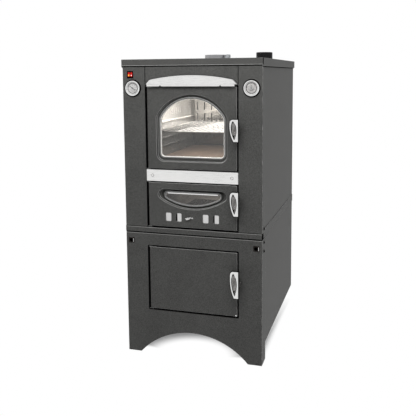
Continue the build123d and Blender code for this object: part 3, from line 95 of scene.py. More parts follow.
# Height in metres, just under the shelf, from which the chamber is darkened by painted shade, how softly and
# how much
SHELF_SHADE_LINE = 1.128
SHELF_SHADE_FADE = 0.012
SHELF_SHADE_COVER = 0.88
finishes = {}


def rgb(red, green, blue):
    return (red, green, blue, 1.0)


def shader_node(tree, kind, output, inputs=(), **settings):
    """An output of a new node; its inputs are (socket, value), linked where the value is an output."""
    made = tree.nodes.new("ShaderNode" + kind)
    for setting, value in settings.items():
        setattr(made, setting, value)
    for socket, value in inputs:
        if isinstance(value, bpy.types.NodeSocket):
            tree.links.new(value, made.inputs[socket])
        else:
            made.inputs[socket].default_value = value
    return made.outputs[output]


def shader(name, **sockets):
    """New material, its node tree and its Principled shader with the given sockets set."""
    finishes[name] = bpy.data.materials.new(name)
    finishes[name].use_nodes = True
    tree = finishes[name].node_tree
    principled = tree.nodes["Principled BSDF"]
    for socket, value in sockets.items():
        principled.inputs[socket.replace("_", " ")].default_value = value
    return tree, principled


def own_place(tree, output="Object"):
    """Coordinate in the part's own frame, so that what follows it stays on a piece as the piece moves."""
    return shader_node(tree, "TexCoord", output)


def along_axis(tree, vector, axis):
    return shader_node(tree, "SeparateXYZ", axis, [(0, vector)])


def noise(tree, scale, detail=3.0, stretch=EVEN):
    place = shader_node(tree, "Mapping", "Vector", [("Vector", own_place(tree)), ("Scale", stretch)])
    return shader_node(tree, "TexNoise", "Fac", [("Vector", place), ("Scale", scale), ("Detail", detail),
                                                 ("Roughness", 0.55)])


def spread(tree, value, low, high, to_low=0.0, to_high=1.0, curve="LINEAR"):
    """The part of value between low and high, stretched to new limits."""
    ends = zip(("From Min", "From Max", "To Min", "To Max"), (low, high, to_low, to_high))
    return shader_node(tree, "MapRange", "Result", [("Value", value), *ends], interpolation_type=curve)


def fade(tree, value, low, high):
    """Smooth rise from nought at low to one at high."""
    return spread(tree, value, low, high, curve="SMOOTHSTEP")


def math_node(tree, operation, *values):
    return shader_node(tree, "Math", "Value", enumerate(values), operation=operation)


def blend_colour(tree, factor, first, second):
    return shader_node(tree, "Mix", 2, [(0, factor), (6, first), (7, second)], data_type="RGBA")


def mix_shaders(tree, factor, first, second):
    return shader_node(tree, "MixShader", "Shader", [(0, factor), (1, first), (2, second)])


def show(tree, closure):
    tree.links.new(closure, tree.nodes["Material Output"].inputs["Surface"])


def worn_and_highlit_edges(tree, radius):
    """One along convex edges and nought on flat faces, broken up by noise; it masks edge wear and painted
    edge highlights.
    """
    rounded = shader_node(tree, "Bevel", "Normal", [("Radius", radius)], samples=4)
    flat = shader_node(tree, "NewGeometry", "Normal")
    likeness = shader_node(tree, "VectorMath", "Value", [(0, rounded), (1, flat)], operation="DOT_PRODUCT")
    patches = spread(tree, noise(tree, 60.0, 4.0), *CONTRAST)
    return math_node(tree, "MULTIPLY", spread(tree, likeness, 0.99, 0.8), patches)


def turned_away(tree):
    """One where a surface rounds off from the front to a side, and nought on the front and on the sides; it
    masks the painted highlight on rounded folds.
    """
    facing_front = math_node(tree, "ABSOLUTE", along_axis(tree, own_place(tree, "Normal"), "Y"))
    off_front = spread(tree, facing_front, 0.97, 0.8)
    return math_node(tree, "MULTIPLY", off_front, spread(tree, facing_front, 0.2, 0.5))


def finish(name, dark, light, rough, grain, bump=SLICK, stretch=EVEN, mottle=30.0, cloud=0.4, wear=None,
           wear_radius=0.0012, shelf_shade=None, sheen=None, **sockets):
    """Two colours mixed by fine grain and broad mottling, whose share is cloud, with uneven gloss and relief.
    Wear and painted highlights show on the edges, painted shade below the shelf and a painted highlight on
    rounded folds, each given as its colour."""
    tree, principled = shader(name, **sockets)
    fine = noise(tree, grain, 3.0, stretch)
    broad = noise(tree, mottle, 4.0)
    mixed = math_node(tree, "ADD", math_node(tree, "MULTIPLY", fine, 1.0 - cloud),
                      math_node(tree, "MULTIPLY", broad, cloud))
    colour = blend_colour(tree, spread(tree, mixed, *CONTRAST), rgb(*dark), rgb(*light))
    # Painted shade under the shelf: the colour darkens from the shelf line down
    if shelf_shade:
        height = along_axis(tree, own_place(tree), "Z")
        shaded = spread(tree, height, SHELF_SHADE_LINE - SHELF_SHADE_FADE, SHELF_SHADE_LINE, SHELF_SHADE_COVER, 0.0)
        colour = blend_colour(tree, shaded, colour, rgb(*shelf_shade))
    # Painted highlight: rounded folds made lighter
    if sheen:
        colour = blend_colour(tree, turned_away(tree), colour, rgb(*sheen))
    # Lighter edges: wear, and on the casing paint also a painted highlight
    if wear:
        colour = blend_colour(tree, worn_and_highlit_edges(tree, wear_radius), colour, rgb(*wear))
    relief = shader_node(tree, "Bump", "Normal",
                         [("Strength", bump[0]), ("Distance", bump[1]), ("Height", fine)])
    gloss = spread(tree, mixed, *CONTRAST, *rough)
    for socket, value in (("Base Color", colour), ("Roughness", gloss), ("Normal", relief)):
        tree.links.new(value, principled.inputs[socket])


def clear_glass(name, tint, gloss):
    """Flat glass: it shows what is behind it, darkened by its tint, and mirrors by its angle."""
    tree, principled = shader(name)
    tree.nodes.remove(principled)
    clear = shader_node(tree, "BsdfTransparent", "BSDF", [("Color", rgb(*tint))])
    smears = spread(tree, noise(tree, 14.0, 5.0), 0.4, 0.7, gloss, gloss + 0.06)
    mirror = shader_node(tree, "BsdfGlossy", "BSDF", [("Color", rgb(0.9, 0.9, 0.9)), ("Roughness", smears)])
    grazing = math_node(tree, "POWER", shader_node(tree, "LayerWeight", "Facing", [("Blend", 0.5)]), 5.0)
    show(tree, mix_shaders(tree, spread(tree, grazing, 0.0, 1.0, 0.05, 0.9), clear, mirror))


def charcoal(name, **more):
    """The casing's textured paint."""
    finish(name, (0.028, 0.028, 0.027), (0.074, 0.074, 0.071), (0.5, 0.7), 330.0, (0.3, 0.0003), mottle=7.0,
           cloud=0.16, Specular_IOR_Level=0.2, **more)


# Light edges on the casing: partly wear where the paint thins, partly a painted highlight along the folds
charcoal("charcoal_paint", wear=(0.46, 0.46, 0.45), wear_radius=0.0025)
# The pressed door sheets carry a painted highlight on their rounded folds and bead
charcoal("pressed_paint", sheen=(0.26, 0.26, 0.255))
finish("stainless", (0.70, 0.70, 0.69), (0.86, 0.855, 0.845), (0.24, 0.38), 90.0, (0.12, 0.00005),
       stretch=(0.25, 9.0, 9.0), mottle=5.0, Metallic=1.0, Anisotropic=0.5)
# The chamber steel and the polished fan cover carry painted shade below the shelf
finish("chamber_steel", (0.66, 0.645, 0.615), (0.90, 0.885, 0.865), (0.12, 0.3), 70.0, (0.12, 0.00005),
       stretch=(6.0, 0.4, 6.0), mottle=7.0, shelf_shade=(0.115, 0.115, 0.108), Metallic=0.5)
finish("polished_steel", (0.70, 0.68, 0.64), (0.90, 0.88, 0.85), (0.03, 0.1), 70.0, stretch=(6.0, 6.0, 0.4),
       mottle=7.0, shelf_shade=(0.10, 0.10, 0.095), Metallic=1.0)
finish("zinc_plated", (0.36, 0.36, 0.37), (0.52, 0.52, 0.53), (0.35, 0.55), 160.0, (0.15, 0.0001),
       wear=(0.75, 0.75, 0.76), Metallic=1.0)
# Lightless black, used for black parts and to paint shade in gaps, seams and recesses
finish("soft_black", (0.001, 0.001, 0.001), (0.004, 0.004, 0.004), (0.7, 0.9), 400.0, (0.1, 0.0001),
       Specular_IOR_Level=0.0)
finish("dull_black", (0.008, 0.007, 0.006), (0.028, 0.025, 0.023), (0.6, 0.8), 200.0, (0.3, 0.0003),
       mottle=60.0, Specular_IOR_Level=0.05)
finish("soot", (0.006, 0.006, 0.006), (0.03, 0.028, 0.026), (0.8, 0.95), 120.0, (0.6, 0.0008), mottle=20.0)
# Pale colour that paints the bright reflection along the oven glass's edge
finish("glass_edge", (0.78, 0.76, 0.72), (0.88, 0.87, 0.84), (0.25, 0.4), 220.0, mottle=20.0)
finish("satin_steel", (0.54, 0.535, 0.53), (0.70, 0.695, 0.69), (0.3, 0.45), 160.0, (0.08, 0.00005),
       stretch=(9.0, 9.0, 0.4), mottle=12.0, Metallic=1.0)
finish("chrome", (0.66, 0.66, 0.655), (0.82, 0.82, 0.815), (0.08, 0.2), 220.0, mottle=12.0, Metallic=1.0)
finish("dial_chrome", (0.40, 0.40, 0.395), (0.66, 0.66, 0.655), (0.1, 0.24), 500.0, mottle=20.0,
       Metallic=1.0)
finish("bezel_chrome", (0.78, 0.78, 0.775), (0.90, 0.90, 0.895), (0.08, 0.2), 500.0, mottle=20.0,
       Metallic=1.0)
finish("shelf_chrome", (0.34, 0.34, 0.335), (0.46, 0.46, 0.455), (0.08, 0.2), 220.0, mottle=12.0,
       Metallic=1.0)
# Chrome darkened to paint the shade on the ribs in the grip's recess
finish("flute_shade_grey", (0.30, 0.29, 0.28), (0.44, 0.43, 0.42), (0.25, 0.4), 220.0, mottle=12.0, Metallic=1.0)
finish("dish_shade", (0.012, 0.012, 0.0115), (0.036, 0.036, 0.034), (0.6, 0.8), 330.0, (0.3, 0.0003),
       mottle=9.0, Specular_IOR_Level=0.1)
finish("timer_grey", (0.20, 0.19, 0.185), (0.46, 0.45, 0.44), (0.3, 0.4), 160.0, mottle=90.0)
# Light grey of the painted highlights along folded edges
finish("edge_highlight_grey", (0.16, 0.16, 0.155), (0.22, 0.22, 0.215), (0.4, 0.6), 160.0)
finish("dial_grey", (0.33, 0.325, 0.32), (0.42, 0.415, 0.41), (0.3, 0.4), 900.0)
finish("print_black", (0.012, 0.012, 0.012), (0.03, 0.03, 0.03), (0.4, 0.6), 900.0, (0.1, 0.00005))
# White patch that paints the highlight on the right rocker
finish("rocker_highlight_white", (0.75, 0.75, 0.74), (0.85, 0.85, 0.84), (0.4, 0.5), 900.0)
finish("black_plastic", (0.014, 0.014, 0.014), (0.03, 0.03, 0.03), (0.3, 0.5), 1200.0, (0.25, 0.0001),
       mottle=14.0, wear=(0.07, 0.07, 0.07), wear_radius=0.0006, Specular_IOR_Level=0.2)
finish("red_plastic", (0.30, 0.005, 0.003), (0.46, 0.010, 0.006), (0.15, 0.3), 300.0, (0.06, 0.0001),
       mottle=40.0, Specular_IOR_Level=0.25, Emission_Color=rgb(0.9, 0.02, 0.01), Emission_Strength=0.05)
finish("amber_lens", (0.80, 0.36, 0.03), (0.95, 0.52, 0.08), (0.15, 0.3), 300.0, (0.05, 0.0001),
       mottle=60.0, Emission_Color=rgb(1.0, 0.5, 0.08), Emission_Strength=0.25)
finish("black_enamel", (0.006, 0.006, 0.006), (0.014, 0.014, 0.014), (0.2, 0.34), 260.0, (0.1, 0.0002),
       mottle=18.0, wear=(0.05, 0.048, 0.045), wear_radius=0.0008, Specular_IOR_Level=0.08)
finish("tyre_rubber", (0.022, 0.022, 0.022), (0.05, 0.05, 0.048), (0.6, 0.85), 700.0, (0.3, 0.0003),
       mottle=22.0, wear=(0.11, 0.105, 0.10))
finish("seal_rope", (0.20, 0.19, 0.175), (0.48, 0.46, 0.43), (0.8, 0.95), 420.0, (0.9, 0.001),
       stretch=(1.0, 1.0, 0.55), mottle=60.0, Sheen_Weight=0.4)
finish("mineral_wool", (0.36, 0.29, 0.15), (0.62, 0.54, 0.34), (0.85, 1.0), 240.0, (1.0, 0.004),
       stretch=(1.0, 1.0, 3.0), mottle=12.0, Sheen_Weight=0.5)
finish("refractory", (0.36, 0.26, 0.165), (0.60, 0.48, 0.34), (0.75, 0.95), 260.0, (0.6, 0.0006),
       mottle=14.0, wear=(0.66, 0.56, 0.44))
finish("hearth_refractory", (0.07, 0.052, 0.04), (0.19, 0.13, 0.09), (0.6, 0.85), 160.0, (0.5, 0.0006),
       mottle=8.0, wear=(0.36, 0.27, 0.20))
finish("sooty_refractory", (0.12, 0.115, 0.108), (0.38, 0.36, 0.335), (0.8, 0.95), 200.0, (0.6, 0.0006),
       mottle=7.0, wear=(0.38, 0.34, 0.30))
finish("cast_iron", (0.035, 0.034, 0.033), (0.085, 0.08, 0.075), (0.5, 0.75), 420.0, (0.6, 0.0005),
       mottle=20.0, wear=(0.16, 0.15, 0.14), Metallic=0.5)
finish("black_steel", (0.03, 0.028, 0.026), (0.075, 0.068, 0.06), (0.45, 0.65), 500.0, (0.25, 0.0002),
       mottle=10.0, wear=(0.16, 0.15, 0.14), Metallic=0.3)
finish("motor_grey", (0.20, 0.21, 0.22), (0.32, 0.33, 0.34), (0.35, 0.5), 500.0, (0.15, 0.0001),
       mottle=16.0, wear=(0.5, 0.5, 0.5))
finish("lamp_glass", (0.85, 0.80, 0.70), (0.95, 0.90, 0.80), (0.3, 0.5), 300.0, (0.1, 0.0001),
       Emission_Color=rgb(1.0, 0.86, 0.68), Emission_Strength=3.0)
clear_glass("door_glass", (0.935, 0.925, 0.91), 0.02)
clear_glass("firebox_glass", (0.80, 0.78, 0.76), 0.04)
clear_glass("lens_glass", (0.98, 0.98, 0.98), 0.01)

# Where a CAD node's finish isn't the one named by its slot
# The face frame's lightless black is partly its black paint, partly painted shade seen through the door gaps
own_finish = {
    "firebox_door_glass": "firebox_glass", "firebricks": "sooty_refractory", "fan_cover": "polished_steel",
    "baking_chamber": "chamber_steel", "rack_guides": "chamber_steel", "hearth_slabs": "hearth_refractory",
    "lifting_sockets": "dull_black", "flue_collar": "zinc_plated", "flue_duct": "soot",
    "air_slide": "satin_steel", "damper_plate": "motor_grey", "face_frame": "soft_black",
    "switch_bezel": "soft_black", "steam_pipe": "soot",
}
for name, thing in nodes.items():
    chosen = finishes[own_finish.get(name, slot_of[name])]
    if thing.material_slots:
        for place in thing.material_slots:
            place.material = chosen
    else:
        thing.data.materials.append(chosen)


# Edges of the CAD sheets and castings, rounded in millimetres

edge_radius = {
    "cart_front": 1.1, "cart_sides": 1.0, "cart_back": 1.0, "base_tray": 1.1, "pilasters": 1.1,
    "top_fascia": 1.0, "top_cover": 0.5, "side_panels": 1.0, "rear_panel": 0.6, "face_frame": 1.0,
    "trim_band": 0.8, "hinge_brackets": 0.5, "latch_keepers": 1.0, "hearth_slabs": 2.0, "firebricks": 2.0,
    "fire_grate": 1.5, "lifting_sockets": 0.7, "switch_bezel": 0.5, "power_inlet": 0.4, "flue_collar": 0.5,
    "rack_guides": 0.4, "oven_door_liner": 0.8, "firebox_door_liner": 0.8, "ash_pan": 0.5,
    "wheel_brackets": 0.8, "steam_vent_base": 0.5,
}
SAME_POINT = 0.01
SAME_PLANE_DEGREES = 0.3
SHARP_DEGREES = 50.0


def even_normals(thing):
    even = thing.modifiers.new("even", "WEIGHTED_NORMAL")
    even.keep_sharp = True


def soften(thing, radius):
    """Welds the CAD mesh, joins its flat faces and rounds its sharp edges, all as modifiers."""
    weld = thing.modifiers.new("weld", "WELD")
    weld.merge_threshold = SAME_POINT * MM
    flat = thing.modifiers.new("flat", "DECIMATE")
    flat.decimate_type = "DISSOLVE"
    flat.angle_limit = math.radians(SAME_PLANE_DEGREES)
    bevel = thing.modifiers.new("edges", "BEVEL")
    bevel.width = radius * MM
    bevel.segments = 2
    bevel.limit_method = "ANGLE"
    bevel.angle_limit = math.radians(SHARP_DEGREES)
    bevel.harden_normals = True
    even_normals(thing)


for name, radius in edge_radius.items():
    soften(nodes[name], radius)


# Outlines, as points (x, z) counter-clockwise seen from the front

def line(start, end, steps):
    return [tuple(a + (b - a) * i / steps for a, b in zip(start, end)) for i in range(steps)]


def arc(x, z, radius, start, end, steps):
    """Points from one angle in degrees towards another, without the last."""
    angles = [math.radians(start + (end - start) * i / steps) for i in range(steps)]
    return [(x + radius * math.cos(a), z + radius * math.sin(a)) for a in angles]


def circle(x, z, radius, steps):
    return arc(x, z, radius, 0, 360, steps)


def rectangle(x, z, corner, inset=0.0):
    left, right, low, high = x[0] + inset, x[1] - inset, z[0] + inset, z[1] - inset
    c = max(corner - inset, 0.05)
    return (
        line((left + c, low), (right - c, low), 8) + arc(right - c, low + c, c, -90, 0, 6)
        + line((right, low + c), (right, high - c), 8) + arc(right - c, high - c, c, 0, 90, 6)
        + line((right - c, high), (left + c, high), 8) + arc(left + c, high - c, c, 90, 180, 6)
        + line((left, high - c), (left, low + c), 8) + arc(left + c, low + c, c, 180, 270, 6)
    )


def arched(half, bottom, radius, corner, inset=0.0):
    """Straight sides, round top about the window's centre and round lower corners."""
    h, b, r, c = half - inset, bottom + inset, radius - inset, corner - inset
    rise = math.sqrt(r * r - h * h)
    end = math.degrees(math.atan2(rise, h))
    return (
        line((-h + c, b), (h - c, b), 24) + arc(h - c, b + c, c, -90, 0, 14)
        + line((h, b + c), (h, ARC_CENTRE + rise), 10) + arc(0, ARC_CENTRE, r, end, 180 - end, 72)
        + line((-h, ARC_CENTRE + rise), (-h, b + c), 10) + arc(-h + c, b + c, c, 180, 270, 14)
    )


def half_moon(half, top, bottom, corner, inset=0.0):
    """Straight top, round corners and a round belly."""
    h, t, b, c = half - inset, top - inset, bottom + inset, corner - inset
    height = t - b
    belly = ((h - c) ** 2 / (height - 2 * c) + height) / 2
    centre = b + belly
    turn = math.degrees(math.atan2(t - c - centre, h - c))
    return (
        line((h - c, t), (c - h, t), 24) + arc(c - h, t - c, c, 90, 180 - turn, 16)
        + arc(0, centre, belly, 180 - turn, 360 + turn, 56) + arc(h - c, t - c, c, 360 + turn, 450, 16)
    )


def drawn_in(points, amount):
    """A counter-clockwise outline moved inwards by the same amount everywhere."""
    moved = []
    for i, point in enumerate(points):
        before = Vector(point) - Vector(points[i - 1])
        after = Vector(points[(i + 1) % len(points)]) - Vector(point)
        first = Vector((-before.y, before.x)).normalized()
        second = Vector((-after.y, after.x)).normalized()
        bisector = (first + second).normalized()
        moved.append(tuple(Vector(point) + bisector * (amount / max(bisector.dot(first), 0.3))))
    return moved


def facing(points, y):
    """An outline put at a depth."""
    return [(x, y, z) for x, z in points]


def steps_in(outline, section, depth=0.0):
    """Rings of an outline, one for each (inset, depth) of a section that starts at a depth from the front."""
    return [facing(drawn_in(outline, inset), FRONT + depth + y) for inset, y in section]


def rings_of(outline, section):
    """Rings of an outline that takes its own inset, for a section of (inset, depth from the front)."""
    return [facing(outline(inset), FRONT + y) for inset, y in section]


def quarter(radius, steps=5):
    """(sideways, inwards) steps of a quarter round, from the face's edge to the side."""
    turns = [math.pi / 2 * i / steps for i in range(steps + 1)]
    return [(radius * math.sin(t), radius * (1 - math.cos(t))) for t in turns]


def mirrored(section, centre):
    """Whole section of (radius, along) from the half that runs outwards from its centre."""
    return [(radius, centre + way * along) for way in SIDES for radius, along in section[::way]]


# Mesh building

class Form:
    """A mesh being built in millimetres."""

    def __init__(self):
        self.bm = bmesh.new()

    def loop(self, points):
        return [self.bm.verts.new(p) for p in points]

    def join(self, first, second):
        """Faces between two rings, either of which may be a single point."""
        count = max(len(first), len(second))
        for i in range(count):
            j = (i + 1) % count
            corners = [ring[k % len(ring)] for ring, k in ((first, i), (first, j), (second, j), (second, i))]
            self.bm.faces.new(list(dict.fromkeys(corners)))

    def fill(self, *loops):
        """Flat faces inside the first loop and round the others."""
        edges = []
        for loop in loops:
            for i, vertex in enumerate(loop):
                pair = (vertex, loop[(i + 1) % len(loop)])
                edges.append(self.bm.edges.get(pair) or self.bm.edges.new(pair))
        bmesh.ops.triangle_fill(self.bm, use_beauty=True, use_dissolve=False, edges=edges)

    def loft(self, rings, start=True, end=True):
        made = [self.loop(ring) for ring in rings]
        for first, second in zip(made, made[1:]):
            self.join(first, second)
        if start and len(made[0]) > 2:
            self.fill(made[0])
        if end and len(made[-1]) > 2:
            self.fill(made[-1])
        return made

    def ring_shape(self, rings):
        """A closed tube: the last ring joins the first."""
        made = [self.loop(ring) for ring in rings]
        for first, second in zip(made, made[1:] + made[:1]):
            self.join(first, second)

    def block(self, x, y, z, radius=0.6):
        """Box between limits with rounded edges."""
        centre = Vector([(a + b) / 2 for a, b in (x, y, z)])
        size = [b - a for a, b in (x, y, z)]
        place = Matrix.Translation(centre) @ Matrix.Diagonal((*size, 1.0))
        made = bmesh.ops.create_cube(self.bm, size=1.0, matrix=place)
        edges = {edge for vertex in made["verts"] for edge in vertex.link_edges}
        bmesh.ops.bevel(self.bm, geom=list(edges), offset=radius, segments=3, profile=0.5, affect="EDGES")

    def turned(self, profile, centre, axis, count=64):
        """Turns (radius, along) round an axis through centre; what doesn't start on the axis is a ring."""
        rings = []
        for radius, along in profile:
            ring = []
            for u, v in circle(0.0, 0.0, radius, count if radius > 0 else 1):
                ring.append({
                    "x": (along, centre[1] + u, centre[2] + v),
                    "y": (centre[0] + u, along, centre[2] + v),
                    "z": (centre[0] + u, centre[1] + v, along),
                }[axis])
            rings.append(ring)
        if profile[0][0] > 0:
            self.ring_shape(rings)
        else:
            self.loft(rings)

    def fitting(self, profile, x, z, count=96):
        """Turns (radius, depth from the front) about a point of the front."""
        self.turned([(radius, FRONT + y) for radius, y in profile], (x, 0, z), "y", count)

    def figures(self, text, x, z, y, size):
        """Flat figures standing on the plane at depth y, facing the front."""
        curve = bpy.data.curves.new("figures", "FONT")
        curve.body = text
        curve.size = size
        curve.extrude = 0.08
        curve.align_x = "CENTER"
        curve.align_y = "CENTER"
        holder = bpy.data.objects.new("figures", curve)
        bpy.context.scene.collection.objects.link(holder)
        bpy.context.view_layer.update()
        mesh = bpy.data.meshes.new_from_object(holder)
        mesh.transform(Matrix.Translation((x, y, z)) @ Matrix.Rotation(math.pi / 2, 4, "X"))
        self.bm.from_mesh(mesh)
        bpy.data.objects.remove(holder)
        bpy.data.meshes.remove(mesh)

    def piece(self, name, finish_name, body, slot=None, stands_for=None, behind=None):
        """Makes the mesh an object that rides on a body, and hides the node it stands for; the slot is not
        used.
        Faces that lie wholly behind a depth get a second finish, the two given as behind."""
        bmesh.ops.recalc_face_normals(self.bm, faces=self.bm.faces[:])
        bmesh.ops.scale(self.bm, vec=(MM, MM, MM), verts=self.bm.verts[:])
        mesh = bpy.data.meshes.new(name)
        self.bm.to_mesh(mesh)
        self.bm.free()
        mesh.materials.append(finishes[finish_name])
        if behind:
            depth, second = behind
            mesh.materials.append(finishes[second])
            for face in mesh.polygons:
                face.material_index = int(min(mesh.vertices[i].co.y for i in face.vertices) / MM > depth)
        mesh.shade_smooth()
        mesh.set_sharp_from_angle(angle=math.radians(35.0))
        thing = bpy.data.objects.new(name, mesh)
        bpy.context.scene.collection.objects.link(thing)
        even_normals(thing)
        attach(thing, body)
        slot = slot or slot_of.get(stands_for)
        if stands_for:
            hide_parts(stands_for)
        return thing


# Doors with their pressed windows

DOOR_ROUND = 2.2
DOOR_SHEET = 3.0
GLAZED_DEPTH = 22.0
PLAIN_DEPTH = 20.0
PRESS_ROUND = 2.4
WINDOW_DEPTH = 18.0
HINGE_GAP_SHADE = 3.6
EDGE_OUT = 0.15
GLASS_LAP = 9.0
ARC_CENTRE = 1119.0
LATCH_Z = {"oven": 1150.0, "firebox": 800.0, "storage": 404.0}
LEVER = (223.0, FRONT - 20.0)
LEVER_HUB = 7.0
LEVER_HUB_HALF = 18.0
EAR_GAP = 0.4
EAR = 4.0

# (grown from the glass outline, depth) across the raised bead round the glass
bead = ((-7.9, 16.0), (-7.2, 15.2), (-6.5, 13.4), (-5.5, 11.9), (-4.2, 11.1), (-2.9, 11.1), (-1.7, 11.8),
        (-0.8, 13.2), (-0.3, 15.0), (0.0, 18.0))

# Pressed dish: its wall runs in to the turn at its foot, which then flattens out
WALL_LEAN = 0.8
WALL_DEPTH = 12.8
FOOT_ROUND = 3.2
dish = [(side - PRESS_ROUND, into) for side, into in quarter(PRESS_ROUND)] + [(WALL_LEAN, 12.0)]
dish += [(WALL_LEAN + FOOT_ROUND * (1 - math.cos(t)), WALL_DEPTH + FOOT_ROUND * math.sin(t))
         for t in (0.3, 0.6, 0.9, 1.2, math.pi / 2)]


def latch_ears(form, z):
    """Two ears and the pin between them, on which a latch lever turns."""
    x, y = LEVER
    for way in SIDES:
        near = z + way * (LEVER_HUB_HALF + EAR_GAP)
        far = near + way * EAR
        rings = []
        for inset, height in ((0.6, near), (0.0, near + way * 0.6), (0.0, far - way * 0.6), (0.6, far)):
            reach = LEVER_HUB - inset
            curve = arc(x, y, reach, 180, 360, 16) + [(x + reach, y), (x + reach, FRONT + 1.0)]
            rings.append([(px, py, height) for px, py in [(x - reach, FRONT + 1.0)] + curve])
        form.loft(rings)
    end = LEVER_HUB_HALF + EAR_GAP + EAR
    form.turned(mirrored([(3.0, end), (2.2, end + 0.6), (0.0, end + 0.6)], z), (x, y, 0), "z", 24)


def door(tag, depth, window=None, glass=None, vents=()):
    """Folded door sheet with rolled edges, a pressed window dish, vents and the ears of its latch."""
    body = tag + "_door"
    node = body + "_panel"
    half = -limits(node)[0].x
    z = heights(node)

    def sheet(inset):
        return rectangle((-half, half), z, DOOR_ROUND, inset)

    form = Form()
    rolled = [(DOOR_ROUND - side, into) for side, into in quarter(DOOR_ROUND)][::-1]
    made = form.loft(rings_of(sheet, [(DOOR_SHEET, DOOR_SHEET), (DOOR_SHEET, depth), (0.3, depth),
                                      (0.0, depth - 0.3)] + rolled), start=False, end=False)
    back_loops, front_loops = [made[0]], [made[-1]]
    openings = []
    if window:
        openings.append(rings_of(window, dish) + rings_of(glass, [*bead, (-8.8, WINDOW_DEPTH)])
                        + rings_of(window, [(-2.0, WINDOW_DEPTH), (-2.0, DOOR_SHEET)]))
    for vent in vents:
        openings.append(rings_of(vent, [(side - 0.9, into) for side, into in quarter(0.9, 3)]
                                 + [(0.0, DOOR_SHEET)]))
    for rings in openings:
        made = form.loft(rings, start=False, end=False)
        front_loops.append(made[0])
        back_loops.append(made[-1])
    form.fill(*front_loops)
    form.fill(*back_loops)
    latch_ears(form, LATCH_Z[tag])
    # The door's returns behind its face are lightless black: painted shade in the gap round the door
    form.piece(body + "_skin", "pressed_paint", body, stands_for=node,
               behind=(FRONT + depth - 0.5, "soft_black"))
    # Lightless band over the door's sides and along its hinge edge: painted shade in the door gap
    edge = Form()
    edge.ring_shape(rings_of(sheet, ((0.05, DOOR_ROUND + 0.4), (-EDGE_OUT, DOOR_ROUND + 0.6),
                                     (-EDGE_OUT, depth - 0.6), (0.05, depth - 0.4))))
    edge.block((-half - EDGE_OUT, HINGE_GAP_SHADE - half), (FRONT - 0.2, FRONT + DOOR_ROUND),
               (z[0] + 1.0, z[1] - 1.0), 0.1)
    edge.piece(body + "_edge_gap_shade", "soft_black", body)


glass_low, glass_high = limits("oven_door_glass")
fire_low, fire_high = limits("firebox_door_glass")


def oven_window(inset):
    return arched(half=178.0, bottom=993.0, radius=201.0, corner=38.0, inset=inset)


def oven_glass(inset):
    return arched(glass_high.x - GLASS_LAP, glass_low.z + GLASS_LAP, glass_high.z - GLASS_LAP - ARC_CENTRE,
                  18.0, inset)


def fire_window(inset):
    return half_moon(half=175.0, top=855.0, bottom=758.0, corner=27.0, inset=inset)


def fire_glass_edge(inset):
    return half_moon(fire_high.x - GLASS_LAP, fire_high.z - GLASS_LAP, fire_low.z + GLASS_LAP, 16.0, inset)


VENT_Z = middle("air_slide").z


def vent_at(x, width, height, corner):
    across = (x - width / 2, x + width / 2)
    upright = (VENT_Z - height / 2, VENT_Z + height / 2)
    return lambda inset: rectangle(across, upright, corner, inset)


vents = [vent_at(x, width=28.5, height=42.0, corner=6.0) for x in (-122.0, -69.0, 69.0, 122.0)]
vents.append(vent_at(-11.5, width=33.0, height=6.0, corner=2.9))
door("oven", GLAZED_DEPTH, oven_window, oven_glass)
door("firebox", GLAZED_DEPTH, fire_window, fire_glass_edge, vents)
door("storage", PLAIN_DEPTH)


# Bright line of the glass edge inside each bead; on the oven door a pale finish paints the glass edge's
# reflection

def glass_trim(tag, outline, finish_name):
    form = Form()
    form.ring_shape(rings_of(outline, ((-0.9, 15.6), (0.6, 15.2), (1.6, 16.0), (1.8, 17.9), (-0.9, 17.9))))
    form.piece(tag + "_glass_trim", finish_name, tag + "_door", "stainless")


glass_trim("oven", oven_glass, "glass_edge")
glass_trim("firebox", fire_glass_edge, "zinc_plated")

# Painted shade in the valley between the dish wall and the bead of the firebox window
form = Form()
valley = half_moon(half=161.0, top=851.1, bottom=761.9, corner=22.0)
flank = rings_of(fire_glass_edge, ((-8.0, 15.8), (-7.3, 15.0), (-6.6, 13.2), (-5.7, 11.8), (-5.7, 13.0),
                                   (-7.9, 16.2)))
form.ring_shape([facing(valley, FRONT + 15.8)] + flank + [facing(valley, FRONT + 16.2)])
form.piece("firebox_dish_shade", "dish_shade", "firebox_door", "black_plastic")

# Bright clamping strip along the top of the firebox glass
STRIP_ENDS = (-130.0, 128.0)
STRIP_HEIGHTS = (831.0, 836.6)
form = Form()
form.block(STRIP_ENDS, (FRONT + 15.4, FRONT + 17.4), STRIP_HEIGHTS, 0.6)
form.piece("firebox_glass_strip", "chrome", "firebox_door", "stainless")


# Handles

handle_low, handle_high = limits("oven_door_handle")
HANDLE = (handle_low.x + 1.0, handle_high.x - 1.0)
GRIP = 12.0
# Depths from the front, as the outlines' sections take them
HANDLE_FACE = handle_low.y - FRONT
RECESS = 3.0
RECESS_FLOOR = HANDLE_FACE + RECESS

# Recess in the grip, in shares of the grip's width and height, from its top down the right side and back up
LEAF = ((0.40, 0.935), (0.60, 0.84), (0.77, 0.72), (0.84, 0.56), (0.83, 0.41), (0.76, 0.26), (0.57, 0.09),
        (0.33, 0.27), (0.20, 0.46), (0.165, 0.66), (0.22, 0.81))


